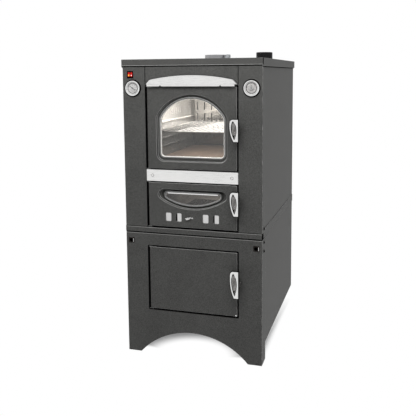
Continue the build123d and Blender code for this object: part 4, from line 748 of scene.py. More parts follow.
def grip_outline(z):
    """Straight right edge, crown at the upper left and a left edge that bends in to the foot."""
    left, right = HANDLE
    low, high = z
    crown_half, crown_drop = 15.0, 19.0
    drop, shift = 0.7 * (high - low), 0.46 * (right - left)
    bend = (drop ** 2 + shift ** 2) / (2 * shift)
    reach = math.degrees(math.asin(drop / bend))
    crown = [(left + crown_half * (1 + math.cos(a)), high - crown_drop * (1 - math.sin(a)))
             for a in (math.pi / 2 * (1 + i / 12) for i in range(12))]
    return (
        line((right, low), (right, high), 24) + line((right, high), (left + crown_half, high), 8) + crown
        + line((left, high - crown_drop), (left, low + drop), 6)
        + arc(left + bend, low + drop, bend, 180, 180 + reach, 24)
        + line((left + shift, low), (right, low), 6)
    )


def smooth(points, steps):
    """Closed Catmull-Rom curve through points."""
    count = len(points)
    made = []
    for i in range(count):
        a, b, c, d = (Vector(points[(i + k) % count]) for k in (-1, 0, 1, 2))
        for k in range(steps):
            t = k / steps
            made.append(tuple(0.5 * (2 * b + (c - a) * t + (2 * a - 5 * b + 4 * c - d) * t * t
                                     + (3 * b - a - 3 * c + d) * t ** 3)))
    return made


def rib(form, points, depth, half_width, height):
    """Half-round bar along points (x, z), tapered at both ends."""
    rings = []
    for i, point in enumerate(points):
        before, after = points[max(i - 1, 0)], points[min(i + 1, len(points) - 1)]
        along = (Vector(after) - Vector(before)).normalized()
        across = Vector((-along.y, along.x))
        share = math.sin(math.pi * min(1.0, (min(i, len(points) - 1 - i) + 0.35) / 3.0) / 2)
        ring = []
        for u, v in circle(0.0, 0.0, share, 12):
            side = across * (half_width * u)
            ring.append((point[0] + side.x, FRONT + depth - height * v, point[1] + side.y))
        rings.append(ring)
    form.loft(rings)


def handle(tag):
    """Chromed grip with its leaf-shaped recess and ribs, the hub on the lever's pin and the latch tongue."""
    body = tag + "_latch"
    node = tag + "_door_handle"
    z = heights(node)
    left, right = HANDLE
    outline = grip_outline(z)
    leaf = [(left + u * (right - left), z[0] + v * (z[1] - z[0])) for u, v in smooth(LEAF, 5)][::-1]
    # Black backing round the grip: partly its plastic base, partly a painted shadow round the grip on the
    # door
    shadow_jacket = Form()
    shadow_jacket.ring_shape(steps_in(outline, ((0.1, 4.0), (-2.0, 4.2), (-3.2, 5.2), (-3.4, 10.5), (-2.2, 11.8),
                                         (0.1, GRIP)), HANDLE_FACE))
    shadow_jacket.piece(tag + "_handle_shadow_jacket", "soft_black", body, "black_plastic")

    form = Form()
    outer = form.loft(steps_in(outline, ((2.4, GRIP), (0.9, GRIP), (0.0, GRIP - 1.0), (0.0, 3.0), (0.4, 1.5),
                                         (1.2, 0.5), (2.3, 0.0)), HANDLE_FACE), end=False)
    inner = form.loft(steps_in(leaf, ((0.0, 0.0), (0.5, 0.3), (0.8, 1.0), (1.0, RECESS)), HANDLE_FACE),
                      start=False)
    form.fill(outer[-1], inner[0])
    x, y = LEVER
    low, high = LATCH_Z[tag] - LEVER_HUB_HALF, LATCH_Z[tag] + LEVER_HUB_HALF
    form.block((x - 6.0, x + 6.0), (FRONT + HANDLE_FACE + GRIP - 0.8, y), (low, high), 1.2)
    form.turned([(3.05, low), (6.2, low), (LEVER_HUB, low + 0.8), (LEVER_HUB, high - 0.8), (6.2, high),
                 (3.05, high)], (x, y, 0), "z", 40)
    form.block((x - 3.0, x + 12.0), (y + 6.0, y + 12.0), (LATCH_Z[tag] - 10.0, LATCH_Z[tag] + 10.0), 1.2)
    form.piece(tag + "_handle", "chrome", body, stands_for=node)

    # Lightless lining: painted shade in the grip's recess
    recess_shade = Form()
    recess_shade.loft(steps_in(leaf, ((1.05, 0.2), (1.05, -0.5), (1.4, -0.7)), RECESS_FLOOR))
    recess_shade.piece(tag + "_handle_recess_shade", "soft_black", body)

    tip = [Vector(point) for point in leaf]
    top = max(range(len(tip)), key=lambda i: tip[i].y)
    foot = min(range(len(tip)), key=lambda i: tip[i].y)
    down = [tip[(top + i) % len(tip)] for i in range((foot - top) % len(tip) + 1)]
    back = [tip[(top - i) % len(tip)] for i in range((top - foot) % len(tip) + 1)]

    def across(share, fall):
        """Point of the leaf at a share of the way down, between its left and right sides."""
        first = down[round(fall * (len(down) - 1))]
        second = back[round(fall * (len(back) - 1))]
        return tuple(first.lerp(second, share))

    # Ribs in the recess, in chrome darkened as painted shade
    ribs = Form()
    for share in (0.26, 0.5, 0.74):
        rib(ribs, [across(share, 0.14 + 0.66 * i / 16) for i in range(17)], RECESS_FLOOR - 0.6, 1.9, 1.5)
    for fall in (0.64, 0.73, 0.82, 0.91):
        start, end = Vector(across(0.86, fall - 0.07)), Vector(across(0.4, fall + 0.05))
        rib(ribs, [tuple(start.lerp(end, i / 6)) for i in range(7)], RECESS_FLOOR - 1.4, 1.3, 1.2)
    ribs.piece(tag + "_handle_ribs", "flute_shade_grey", body)
    plug = Form()
    cap = ((0.0, -1.6), (1.6, -1.7), (2.2, -1.2), (2.4, -0.4), (0.0, -0.4))
    plug.fitting([(radius, RECESS_FLOOR + y) for radius, y in cap], *across(0.5, 0.10), 28)
    plug.piece(tag + "_handle_plug", "black_plastic", body, "black_plastic")


for tag in LATCH_Z:
    handle(tag)


# Stainless hood over the baking door

HOOD_HALF = 231.0
HOOD_SHOULDER = 208.0
HOOD_LOW = 1368.0
HOOD_MIDDLE = 1391.0
LIP_LOW, HOOD_TOP = heights("valance")
HOOD_REACH = 16.0
HOOD_TOP_REACH = 5.0
HOOD_ROUND = 3.6
SHOULDER_ROUND = 5.5


def hood_outline():
    radius = (HOOD_SHOULDER ** 2 + (HOOD_TOP - HOOD_MIDDLE) ** 2) / (2 * (HOOD_TOP - HOOD_MIDDLE))
    centre = HOOD_TOP - radius
    shoulder = Vector((HOOD_SHOULDER, HOOD_MIDDLE))
    lean = Vector((HOOD_HALF - HOOD_SHOULDER, HOOD_LOW - HOOD_MIDDLE)).normalized()
    start = shoulder + lean * SHOULDER_ROUND
    cut = math.acos((HOOD_SHOULDER - SHOULDER_ROUND) / radius)
    end = Vector((radius * math.cos(cut), centre + radius * math.sin(cut)))
    corner = [tuple(start * (1 - t) ** 2 + shoulder * (2 * t * (1 - t)) + end * t * t)
              for t in (i / 8 for i in range(8))]
    right = line((HOOD_HALF, HOOD_LOW), tuple(start), 8) + corner
    left = [(-x, z) for x, z in right[::-1]]
    crown = arc(0, centre, radius, math.degrees(cut), 180 - math.degrees(cut), 72)
    return line((-HOOD_HALF, HOOD_LOW), (HOOD_HALF, HOOD_LOW), 60)[1:] + right + crown + left


def slant(x, z):
    """Depth of the hood's leaning front, which runs back to the casing at its two ends."""
    rise = (z - HOOD_LOW) / (HOOD_TOP - HOOD_LOW)
    reach = HOOD_REACH - rise * (HOOD_REACH - HOOD_TOP_REACH)
    return FRONT - reach * (1 - 0.75 * abs(x / HOOD_HALF) ** 10)


form = Form()
outline = hood_outline()
rings = [facing(outline, FRONT)]
for inset, rise in [(0.0, 4.5)] + [(HOOD_ROUND - side, into) for side, into in quarter(HOOD_ROUND, 6)][::-1]:
    rings.append([(x, min(slant(x, z) + rise, FRONT - 0.05), z) for x, z in drawn_in(outline, inset)])
form.loft(rings)
form.piece("hood", "stainless", "casing", stands_for="valance")

# Black strip that paints the shadow line round the hood
form = Form()
form.ring_shape(steps_in(outline, ((-2.2, -0.1), (-1.9, -0.8), (0.8, -0.8), (0.8, -0.1))))
form.piece("hood_shadow_strip", "black_plastic", "casing", "black_plastic")

# Lip under the hood, notched near both ends
LIP_HALF = 219.0
NOTCH = (146.0, 154.0)
NOTCH_TOP = LIP_LOW + 4.0
notched_half = [(NOTCH[0], LIP_LOW), (NOTCH[0], NOTCH_TOP), (NOTCH[1], NOTCH_TOP), (NOTCH[1], LIP_LOW),
                (LIP_HALF, LIP_LOW)]
lip = [(-x, z) for x, z in notched_half[::-1]] + notched_half
lip += [(LIP_HALF, HOOD_LOW + 1.5), (-LIP_HALF, HOOD_LOW + 1.5)]
form = Form()
form.loft(steps_in(lip, ((0.5, -16.0), (0.15, -15.85), (0.0, -15.5), (0.0, -14.3), (0.3, -14.0))))
form.piece("hood_lip", "stainless", "casing", "stainless")


# Gauges

GAUGE_Z = middle("timer_body").z
GAUGE_X = middle("timer_body").x
FACE = -4.2
gauge_profile = [
    (0.0, 22.0), (30.0, 22.0), (32.0, 20.0), (32.0, 0.0), (36.6, 0.0), (37.5, -1.0), (37.5, -6.4),
    (37.2, -7.8), (36.4, -9.0), (35.2, -9.8), (33.9, -10.0), (32.9, -9.7), (32.2, -9.0), (31.9, -8.0),
    (31.7, -4.0), (0.0, -4.0),
]
ring_profile = [(31.7, -8.2), (31.6, -4.1), (26.2, -4.1), (26.1, -4.9), (31.0, -8.2)]
# Black gasket round the bezel, widened into a painted dark halo, and a painted shade line inside the sloping
# ring
gasket_shade_profiles = [[(37.4, -0.1), (42.4, -0.1), (42.6, -0.9), (37.4, -1.1)],
                   [(23.6, -4.2), (26.0, -4.2), (26.0, -4.9), (23.6, -4.7)]]
face_profile = [(0.0, -3.9), (28.1, -3.9), (28.1, FACE), (0.0, -4.25)]
MARK_END = 23.2
FIGURES_AT = 15.2
FIGURE_SIZE = 4.2


def on_dial(x, angle, radius):
    return Vector((x + radius * math.cos(angle), GAUGE_Z + radius * math.sin(angle)))


def scale_marks(x, start, sweep, steps, every, figure_step):
    """Printed marks that run clockwise from start in degrees, longer and with a figure at every so many."""
    form = Form()
    for i in range(steps + 1):
        angle = math.radians(start - sweep * i / steps)
        long_mark = i % every == 0
        inner, half = (19.0, 0.42) if long_mark else (21.0, 0.22)
        across = Vector((-math.sin(angle), math.cos(angle))) * half
        near, far = on_dial(x, angle, inner), on_dial(x, angle, MARK_END)
        corners = [tuple(corner) for corner in (near - across, far - across, far + across, near + across)]
        form.loft([facing(corners, FRONT + y) for y in (FACE + 0.1, FACE - 0.22)])
        if long_mark:
            px, pz = on_dial(x, angle, FIGURES_AT)
            form.figures(str(i // every * figure_step), px, pz, FRONT - 4.32, FIGURE_SIZE)
    return form


def dial(name, x, face_finish, **scale):
    """Gauge body with its sloping ring, a gasket with painted shade lines, face and printed scale."""
    for part, finish_name, slot, profiles in (("_case", "bezel_chrome", "dial_chrome", [gauge_profile]),
                                              ("_ring", "dial_grey", None, [ring_profile]),
                                              ("_gasket", "soft_black", "black_plastic", gasket_shade_profiles),
                                              ("_face", face_finish, None, [face_profile])):
        form = Form()
        for profile in profiles:
            form.fitting(profile, x, GAUGE_Z)
        form.piece(name + part, finish_name, "casing", slot, name + "_body" if part == "_case" else None)
    scale_marks(x, **scale).piece(name + "_scale", "print_black", "casing", "black_plastic")


# From 0 to 300 degrees with a figure at every fifty, and one hour with a figure at every ten minutes
dial("thermometer", -GAUGE_X, "dial_grey", start=135.0, sweep=240.0, steps=48, every=8, figure_step=50)
dial("timer", GAUGE_X, "timer_grey", start=90.0, sweep=300.0, steps=60, every=10, figure_step=10)

form = Form()
form.fitting([(0.0, -3.8), (1.5, -3.8), (1.5, -6.8), (1.0, -7.0), (0.0, -7.0)], -GAUGE_X, GAUGE_Z, 20)
form.fitting([(0.0, -3.8), (2.0, -3.8), (2.0, -7.3), (1.4, -7.5), (0.0, -7.5)], GAUGE_X, GAUGE_Z, 20)
form.piece("gauge_posts", "dial_chrome", "casing", "dial_chrome")

# Pointer, thick at its tail and fine at its tip
POINTER_TURN = math.radians(142.0)
form = Form()
blade = [(20.0, 0.5), (8.0, 1.2), (3.0, 1.9), (-3.0, 1.9), (-8.0, 1.2), (-17.0, 1.8)]
along = Vector((math.cos(POINTER_TURN), math.sin(POINTER_TURN)))
across = Vector((-along.y, along.x))
hub = Vector((-GAUGE_X, GAUGE_Z))
pointer = [tuple(hub + along * u + across * v) for u, v in blade + [(u, -v) for u, v in blade[::-1]]][::-1]
form.loft(steps_in(pointer, ((0.12, -5.05), (0.0, -5.2), (0.0, -5.75), (0.12, -5.95))))
form.fitting([(1.55, -5.1), (4.0, -5.1), (4.0, -5.9), (3.4, -6.6), (2.2, -6.95), (1.55, -6.95)],
             -GAUGE_X, GAUGE_Z, 32)
form.piece("thermometer_pointer_blade", "print_black", "thermometer_pointer",
           stands_for="thermometer_needle")

form = Form()
form.fitting([(0.0, -8.5), (31.8, -8.3), (31.8, -8.9), (20.0, -9.35), (0.0, -9.6)], -GAUGE_X, GAUGE_Z)
form.piece("thermometer_lens", "lens_glass", "casing", "door_glass").visible_shadow = False

# Timer knob: fluted skirt, flat top and a dark line
FLUTES = 18
FLUTE_STEPS = 108
form = Form()
rings = []
for radius, y, flute in ((8.2, -5.0, 0.0), (9.0, -5.4, 0.5), (8.8, -10.6, 0.45), (8.2, -11.6, 0.2),
                         (7.0, -12.0, 0.0), (6.4, -11.7, 0.0)):
    angles = [2 * math.pi * k / FLUTE_STEPS for k in range(FLUTE_STEPS)]
    outline = [on_dial(GAUGE_X, a, radius - flute * abs(math.sin(FLUTES / 2 * a))) for a in angles]
    rings.append(facing(outline, FRONT + y))
form.loft(rings)
form.piece("timer_grip", "dial_chrome", "timer_dial", "dial_chrome", "timer_knob")
form = Form()
form.block((GAUGE_X - 1.8, GAUGE_X + 1.8), (FRONT - 12.0, FRONT - 11.5), (GAUGE_Z - 5.6, GAUGE_Z + 5.9), 0.2)
form.block((GAUGE_X - 0.8, GAUGE_X + 0.8), (FRONT - 6.0, FRONT - 5.1), (GAUGE_Z + 8.0, GAUGE_Z + 14.0), 0.2)
form.piece("timer_pointer", "print_black", "timer_dial", "black_plastic")


# Rocker switches

ROCKER_Z = middle("rocker_left").z
ROCKER_Y = FRONT + 3.0
ROCKER_TILT = math.radians(7.0)
ROCKER_END = 11.4
rocker_front = ((9.9, -6.0), (7.4, -5.4), (4.0, -4.9), (0.0, -4.7), (-4.0, -4.9), (-7.4, -5.4), (-9.9, -6.0))


def tipped(depth, height):
    """(y, z) of a point of the rocker's own section, tilted about its pins."""
    return (ROCKER_Y + depth * math.cos(ROCKER_TILT) + height * math.sin(ROCKER_TILT),
            ROCKER_Z - depth * math.sin(ROCKER_TILT) + height * math.cos(ROCKER_TILT))


def rocker(side, window_finish, height, half_width, half_height):
    """Rocker button with a window in its lower half, the window's height being that of its middle; on the
    left the window is a lit lens, on the right a white patch that paints the highlight.
    """
    node = "rocker_" + side
    body = side + "_rocker"
    x = middle(node).x
    low = arc(0.0, 0.0, ROCKER_END, -118, -54, 8)
    high = arc(0.0, 0.0, ROCKER_END, 62, 126, 8)
    section = low + high + [(depth, up) for up, depth in rocker_front]
    form = Form()
    rings = []
    for inset, across in ((1.0, -4.8), (0.35, -4.6), (0.0, -4.0), (0.0, 4.0), (0.35, 4.6), (1.0, 4.8)):
        rings.append([(x + across, *tipped(*point)) for point in drawn_in(section, inset)])
    form.loft(rings)
    form.piece(body + "_button", "red_plastic", body, stands_for=node)
    rings = []
    for grow, lift in ((0.3, -0.3), (0.3, 0.1), (0.0, 0.35)):
        ring = []
        for u, v in circle(0.0, 0.0, 1.0, 32):
            across = (half_width + grow) * math.copysign(abs(u) ** 0.5, u)
            up = height + (half_height + grow) * math.copysign(abs(v) ** 0.5, v)
            ring.append((x + across, *tipped(-4.75 + 0.09 * up - lift, up)))
        rings.append(ring)
    form = Form()
    form.loft(rings)
    form.piece(body + "_button_window", window_finish, body)


rocker("left", "amber_lens", height=-4.2, half_width=3.0, half_height=2.9)
# On the right rocker the white window is a painted highlight
rocker("right", "rocker_highlight_white", height=-4.6, half_width=1.7, half_height=2.0)


# Screws

SIDE_SCREW_Y = FRONT + 39.0
SIDE_SCREW_HEIGHTS = (567.0, 610.0, 677.0)
SCREW_RADIUS = 5.6
SIDE_SCREW_RISE = 4.2
BAND_SCREW_X = 202.0
BAND_SCREW_RISE = 2.0
STUD_X = 221.0
STUD_Z = 243.0
BAND_MIDDLE = middle("trim_band").z
# (share of the radius, share of the height, whether six-sided) from the head's edge into its socket
screw_section = ((1.0, 0.0, False), (1.0, 0.25, False), (0.93, 0.55, False), (0.76, 0.85, False),
                 (0.55, 1.0, False), (0.45, 1.0, True), (0.42, 0.35, True))


def screw(form, centre, axis, way, height):
    """Domed head with a six-sided socket, standing out from centre along the axis."""
    rings = []
    for width, rise, sided in screw_section:
        out = way * height * rise
        ring = []
        for k in range(36):
            a = 2 * math.pi * k / 36
            reach = width * SCREW_RADIUS
            if sided:
                reach *= math.cos(math.pi / 6) / math.cos(a % (math.pi / 3) - math.pi / 6)
            u, v = reach * math.cos(a), reach * math.sin(a)
            offset = (out, u, v) if axis == "x" else (u, out, v)
            ring.append(tuple(Vector(centre) + Vector(offset)))
        rings.append(ring)
    form.loft(rings)


form = Form()
for side in SIDES:
    x = side * CASE_HALF
    for height in SIDE_SCREW_HEIGHTS:
        screw(form, (x, SIDE_SCREW_Y, height), "x", side, SIDE_SCREW_RISE)
        form.turned([(0.0, x), (8.4, x), (8.4, x + side * 1.0), (0.0, x + side * 1.2)],
                    (0, SIDE_SCREW_Y, height), "x", 32)
form.piece("side_screws", "soft_black", "casing", "black_plastic", "screws")
form = Form()
for side in SIDES:
    screw(form, (side * BAND_SCREW_X, FRONT - 1.0, BAND_MIDDLE), "y", -1, BAND_SCREW_RISE)
form.piece("band_screws", "stainless", "casing", "stainless")
form = Form()
for side in SIDES:
    form.fitting([(5.7, -0.9), (8.2, -0.9), (8.0, -1.7), (5.7, -1.9)], side * BAND_SCREW_X, BAND_MIDDLE, 40)
form.piece("band_washers", "timer_grey", "casing")
form = Form()
form.fitting([(0.0, 0.2), (3.6, 0.2), (3.6, -1.4), (2.6, -2.3), (0.0, -2.6)], STUD_X, STUD_Z, 28)
form.piece("storage_door_stud", "chrome", "storage_door")


# Collars of the lifting sockets, with the bright spring clip in each

SOCKET_X = 322.0
SOCKET_Z = middle("lifting_sockets").z
SOCKET_HALF = 15.5
SOCKET_HALF_HEIGHT = 13.5
SOCKET_HOLE = 10.0

for side, tag in zip(SIDES, ("left", "right")):
    x = side * SOCKET_X
    outline = rectangle((x - SOCKET_HALF, x + SOCKET_HALF),
                        (SOCKET_Z - SOCKET_HALF_HEIGHT, SOCKET_Z + SOCKET_HALF_HEIGHT), 3.0)
    hole = circle(x - 2.0, SOCKET_Z, SOCKET_HOLE, 48)
    form = Form()
    outer = form.loft(steps_in(outline, ((0.0, -0.1), (0.0, -1.6), (0.4, -2.2), (1.0, -2.4))), end=False)
    inner = form.loft(steps_in(hole, ((0.0, -2.4), (0.4, -2.2), (0.6, -0.1))), start=False)
    form.fill(outer[-1], inner[0])
    form.piece("socket_collar_" + tag, "dull_black", "casing", "black_plastic")
    form = Form()
    form.block((x + 9.4, x + 12.4), (FRONT - 3.4, FRONT - 2.2), (SOCKET_Z - 9.0, SOCKET_Z + 9.0), 0.5)
    form.piece("socket_clip_" + tag, "dial_chrome", "casing")


# Painted shadow lines: lightless strips in the seams between the sheets and under the cover's skirt

SEAM_HALF = CASE_HALF - 0.4
SEAM_WIDTH = 3.2


def strip(form, half, y, z, radius):
    """Strip across the front between two depths from it."""
    form.block((-half, half), (FRONT + y[0], FRONT + y[1]), z, radius)


form = Form()
for side in SIDES:
    seam = side * FASCIA_HALF
    form.block((seam - SEAM_WIDTH / 2, seam + SEAM_WIDTH / 2), (FRONT - 0.25, FRONT + 0.4),
               (HOOD_LOW, SKIRT_LOW - 0.5), 0.1)
    x = side * CASE_HALF
    form.block(sorted((x, x + side * 2.4)), (FRONT + 1.0, BACK - 8.0),
               (COVER_LOW.z - 3.7, COVER_LOW.z + 0.3), 0.3)
    form.block(sorted((x - side * 2.0, x + side * 1.0)), (FRONT - 0.4, FRONT + 24.0),
               (CART_TOP + 5.0, TRAY_TOP - 0.5), 0.2)
strip(form, CASE_HALF + 2.0, (-2.6, 0.2), (SKIRT_LOW - 4.1, SKIRT_LOW + 0.3), 0.4)
strip(form, SEAM_HALF, (-0.4, 1.5), (CART_TOP - 0.4, CART_TOP + 5.6), 0.1)
strip(form, SEAM_HALF, (-0.3, 0.6), (TRAY_TOP - 2.0, TRAY_TOP + 1.0), 0.1)
form.piece("sheet_seam_shadows", "soft_black", "casing", "black_plastic")

# Lightless lips round the door openings that paint the shade in the door gaps, each given by its half width,
# its bottom and top and the lip's width
STORAGE_HALF = 231.0
STORAGE_HEIGHTS = (234.0, 562.0)
STORAGE_LIP = 4.2
DOOR_LIP = 2.0
form = Form()
for half, z, width in ((FASCIA_HALF, (BAND_HIGH, FASCIA_LOW), DOOR_LIP),
                       (FASCIA_HALF, (TRAY_TOP + 0.9, BAND_LOW), DOOR_LIP),
                       (STORAGE_HALF, STORAGE_HEIGHTS, STORAGE_LIP)):
    form.ring_shape([facing(rectangle((-half, half), z, 1.0, inset), FRONT + y) for inset, y in (
        (-width, 0.3), (-width, -0.25), (0.15, -0.25), (0.35, 0.1), (0.35, 18.0), (-0.2, 18.0))])
form.piece("opening_gap_shades", "soft_black", "casing", "black_plastic")

# Painted highlights along the folded edges of the cart, the tray and the cover, and painted shade in the
# joint at the cover's corner
COVER_FACE = (COVER_LOW.y - FRONT - 0.1, COVER_LOW.y - FRONT + 0.4)
form = Form()
strip(form, CASE_HALF - 1.0, (-0.15, 0.3), (CART_TOP - 3.2, CART_TOP - 0.6), 0.08)
strip(form, CASE_HALF - 1.0, (-0.15, 0.3), (TRAY_TOP - 4.8, TRAY_TOP - 2.2), 0.08)
strip(form, COVER_HIGH.x - 1.5, COVER_FACE, (SKIRT_LOW + 0.4, SKIRT_LOW + 2.4), 0.08)
form.piece("folded_edge_highlights", "edge_highlight_grey", "casing")
# Lightless strip: painted shade in the joint at the cover's corner
form = Form()
form.block((COVER_HIGH.x - 4.2, COVER_HIGH.x - 0.6), (COVER_LOW.y - 0.12, COVER_LOW.y + 0.4),
           (SKIRT_LOW + 0.6, COVER_HIGH.z - 0.8), 0.08)
form.piece("cover_corner_shade", "soft_black", "casing", "black_plastic")


# Wire shelf

FRAME_WIRE = 3.5
LONG_WIRES = 15
LONG_PITCH = 27.44
CROSS_WIRES = 43
shelf_low, shelf_high = limits("wire_shelf")
half = shelf_high.x - FRAME_WIRE
near = shelf_low.y + FRAME_WIRE
far = shelf_high.y - FRAME_WIRE
level = shelf_low.z + FRAME_WIRE


def bar(form, start, end, place, axis):
    """Bar of the shelf's frame with rounded ends."""
    form.turned([(0.0, start), (3.2, start + (0.2 if axis == "y" else 0.3)), (FRAME_WIRE, start + 0.8),
                 (FRAME_WIRE, end - 0.8), (3.2, end - 0.2), (0.0, end)], place, axis, 20)


form = Form()
for x in (-half, half):
    bar(form, near, far, (x, 0, level), "y")
for y in (near, (near + far) / 2, far):
    bar(form, -half - FRAME_WIRE, half + FRAME_WIRE, (0, y, level), "x")
for i in range(LONG_WIRES):
    x = (i - LONG_WIRES // 2) * LONG_PITCH
    form.turned([(0.0, near - 1.0), (1.9, near), (1.9, far), (0.0, far + 1.0)], (x, 0, level + 2.4), "y", 14)
for i in range(CROSS_WIRES):
    y = near + (far - near) * (i + 1) / (CROSS_WIRES + 1)
    form.turned(mirrored([(1.5, half - 0.5), (0.0, half)], 0.0), (0, y, level - 0.6), "x", 10)
form.piece("shelf_wires", "shelf_chrome", "casing", stands_for="wire_shelf")


# Rear wheels, each section given as (radius, distance from the wheel's middle) for one half

tyre_half = [(41.0, 1.5), (42.0, 2.4), (42.0, 7.0), (41.7, 9.8), (40.3, 12.6), (37.5, 14.0), (32.5, 14.0),
             (30.5, 13.2), (29.5, 10.5)]
hub_half = [(30.2, 11.2), (28.4, 10.6), (26.5, 8.6), (11.6, 9.4), (11.0, 13.4), (10.4, 14.0), (5.05, 13.6)]
SPOKES = 5


def wheel(side):
    node = "rear_wheel_" + side
    body = side + "_wheel"
    x, y, z = middle(node)
    form = Form()
    form.turned(mirrored(tyre_half, x), (0, y, z), "x", 96)
    form.piece(body + "_tyre", "tyre_rubber", body, stands_for=node)
    form = Form()
    form.turned(mirrored(hub_half, x), (0, y, z), "x", 96)
    for k in range(SPOKES):
        a = 2 * math.pi * k / SPOKES + 0.3
        out = Vector((math.cos(a), math.sin(a)))
        across = Vector((-out.y, out.x))
        rings = []
        for reach, width, swell in ((9.0, 3.4, 12.2), (18.0, 2.4, 11.2), (28.6, 3.2, 10.8)):
            ring = []
            for u, v in circle(0.0, 0.0, 1.0, 16):
                place = out * reach + across * (width * u)
                ring.append((x + swell * v, y + place.x, z + place.y))
            rings.append(ring)
        form.loft(rings)
    form.piece(body + "_hub", "motor_grey", body)


wheel("left")
wheel("right")


# Hoods pressed out of the rear panel over its louvres

LOUVRES = 7
LOUVRE_PITCH = 14.0
LOUVRE_HALF = 61.0
LOUVRE_REACH = 4.2
LOUVRE_DROP = 3.4

form = Form()
for row in range(LOUVRES):
    z = middle("fan_impeller").z + (row - LOUVRES // 2) * LOUVRE_PITCH
    rings = []
    for i in range(25):
        u = -1 + 2 * i / 24
        swell = max(1 - abs(u) ** 6, 0.02) ** 0.5
        top, reach, drop = z + 2.0 + 2.6 * swell, LOUVRE_REACH * swell, LOUVRE_DROP * swell
        outer = [(0.0, top), (reach * 0.45, top - drop * 0.15), (reach * 0.8, top - drop * 0.5),
                 (reach, top - drop)]
        inner = [(reach - 0.7 * swell, top - drop), (reach * 0.6, top - 0.6 - drop * 0.5),
                 (reach * 0.2, top - 0.8 - drop * 0.2), (0.0, top - 0.9)]
        rings.append([(u * LOUVRE_HALF, BACK - 0.2 + y, height) for y, height in outer + inner])
    form.loft(rings)
form.piece("rear_louvre_hoods", "charcoal_paint", "casing", "charcoal_paint")


# Studio, in metres

WHITE = (1.0, 1.0, 1.0)
WARM = (1.0, 0.97, 0.93)
CHAMBER_WARM = (1.0, 0.985, 0.96)


def into_scene(name, data):
    thing = bpy.data.objects.new(name, data)
    bpy.context.scene.collection.objects.link(thing)
    return thing


def area_light(name, place, target, size, power, colour=WHITE, glossy=False):
    lamp = bpy.data.lights.new(name, "AREA")
    lamp.shape = "RECTANGLE"
    lamp.size, lamp.size_y = size
    lamp.energy = power
    lamp.color = colour
    thing = into_scene(name, lamp)
    thing.location = place
    thing.rotation_euler = (Vector(target) - Vector(place)).to_track_quat("-Z", "Y").to_euler()
    thing.visible_glossy = glossy


def background_mix(tree, seen, lit):
    """Closure that shows `seen` to the camera and mirrors, and `lit` to everything else."""
    by_camera, by_mirror, through = (shader_node(tree, "LightPath", "Is %s Ray" % kind)
                                     for kind in ("Camera", "Glossy", "Transmission"))
    by_any = math_node(tree, "MAXIMUM", by_camera, math_node(tree, "MAXIMUM", by_mirror, through))
    return mix_shaders(tree, by_any, lit, seen)


world = bpy.data.worlds.new("studio")
bpy.context.scene.world = world
world.use_nodes = True
tree = world.node_tree
tree.nodes.clear()
seen, lit = (shader_node(tree, "Background", "Background", [("Color", rgb(*WHITE)), ("Strength", strength)])
             for strength in (1.0, 0.19))
tree.links.new(background_mix(tree, seen, lit), tree.nodes.new("ShaderNodeOutputWorld").inputs["Surface"])


def vector_steps(tree, vector, *steps):
    """Runs a vector through operations, each given as (operation, second value), and returns its length."""
    for operation, value in steps:
        inputs = [(0, vector), (1, value)] if value else [(0, vector)]
        vector = shader_node(tree, "VectorMath", "Vector", inputs, operation=operation)
    return shader_node(tree, "VectorMath", "Value", [(0, vector)], operation="LENGTH")


# Middle and half size of the shaded footprint, the width of its fading edge, and the painted light by the
# arch
SHADE_MIDDLE = (0.0, 0.045, 0.0)
SHADE_HALF = (0.306, 0.408, 1.0)
SHADE_FADE = 0.048
NOUGHT = (0.0, 0.0, 0.0)
FLAT = (1.0, 1.0, 0.0)
ARCH_MIDDLE = (-0.015, -0.455, 0.0)
ARCH_RADII = (0.19, 0.18, 1.0)
FLOOR_HALF = 9.0


def floor_painted_light(tree, place):
    """One where the floor is painted white over its shadow: off the footprint, by the arch, and to the rear
    of the sides; so the shadow's shape is painted.
    """
    beside = vector_steps(tree, place, ("SUBTRACT", SHADE_MIDDLE), ("ABSOLUTE", None),
                          ("SUBTRACT", SHADE_HALF), ("MAXIMUM", NOUGHT), ("MULTIPLY", FLAT))
    arch = vector_steps(tree, place, ("SUBTRACT", ARCH_MIDDLE), ("DIVIDE", ARCH_RADII))
    outward = fade(tree, math_node(tree, "ABSOLUTE", along_axis(tree, place, "X")), 0.20, 0.29)
    rearward = math_node(tree, "MINIMUM", outward, spread(tree, along_axis(tree, place, "Y"), -0.22, 0.5))
    around = math_node(tree, "MAXIMUM", fade(tree, beside, 0.0, SHADE_FADE), rearward)
    return math_node(tree, "MAXIMUM", around, fade(tree, arch, 1.55, 0.95))


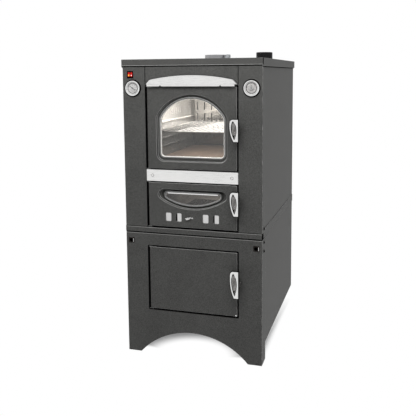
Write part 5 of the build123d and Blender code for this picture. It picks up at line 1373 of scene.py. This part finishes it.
floor_mesh = bpy.data.meshes.new("floor")
corners = [(x * FLOOR_HALF, y * FLOOR_HALF, 0) for x, y in ((-1, -1), (1, -1), (1, 1), (-1, 1))]
floor_mesh.from_pydata(corners, [], [(0, 1, 2, 3)])
floor = into_scene("floor", floor_mesh)
tree, principled = shader("floor", Base_Color=rgb(0.9, 0.9, 0.9), Roughness=0.9, Specular_IOR_Level=0.1)
glow = shader_node(tree, "Emission", "Emission", [("Color", rgb(*WHITE))])
# Glow paints the floor white except where its shadow is let show
glow_share = spread(tree, floor_painted_light(tree, own_place(tree)), 0.0, 1.0, 0.2, 1.0)
plain = principled.outputs["BSDF"]
show(tree, background_mix(tree, mix_shaders(tree, glow_share, plain, glow), plain))
floor_mesh.materials.append(finishes["floor"])

area_light("side_box", (3.4, -0.3, 0.05), (0.3, 0.1, 0.4), (2.2, 1.2), 48.0)
area_light("front_box", (0.05, -1.8, 2.6), (0.0, -0.4, 1.35), (2.4, 1.0), 76.0)
area_light("top_box", (0.4, 0.4, 3.4), (0.0, 0.1, 1.2), (2.2, 2.2), 30.0)
area_light("fire_box", (0.09, -0.12, 0.885), (0.0, 0.08, 0.80), (0.12, 0.1), 0.5, WARM)
area_light("chamber_box", (0.0, -0.08, 1.328), (0.0, -0.02, 1.0), (0.34, 0.5), 5.3, CHAMBER_WARM, glossy=True)

# Camera as fitted to the photograph, with its angles in radians
CAMERA_PLACE = (0.8982, -3.2129, 1.4128)
CAMERA_YAW = 0.284314
CAMERA_PITCH = 0.122
CAMERA_ROLL = -0.007

camera = bpy.data.cameras.new("camera")
camera.sensor_width = 36.0
camera.lens = 52.36
camera.shift_x = -0.0039
camera.shift_y = -0.1418
camera.clip_start = 0.05
camera.clip_end = 60.0
ahead = Vector((-math.sin(CAMERA_YAW) * math.cos(CAMERA_PITCH), math.cos(CAMERA_YAW) * math.cos(CAMERA_PITCH),
                -math.sin(CAMERA_PITCH)))
level_right = Vector((math.cos(CAMERA_YAW), math.sin(CAMERA_YAW), 0.0))
level_up = level_right.cross(ahead)
right = level_right * math.cos(CAMERA_ROLL) + level_up * math.sin(CAMERA_ROLL)
up = level_up * math.cos(CAMERA_ROLL) - level_right * math.sin(CAMERA_ROLL)
viewer = into_scene("camera", camera)
viewer.matrix_world = Matrix.Translation(CAMERA_PLACE) @ Matrix((right, up, -ahead)).transposed().to_4x4()
bpy.context.scene.camera = viewer
bpy.context.scene.view_settings.view_transform = "Standard"
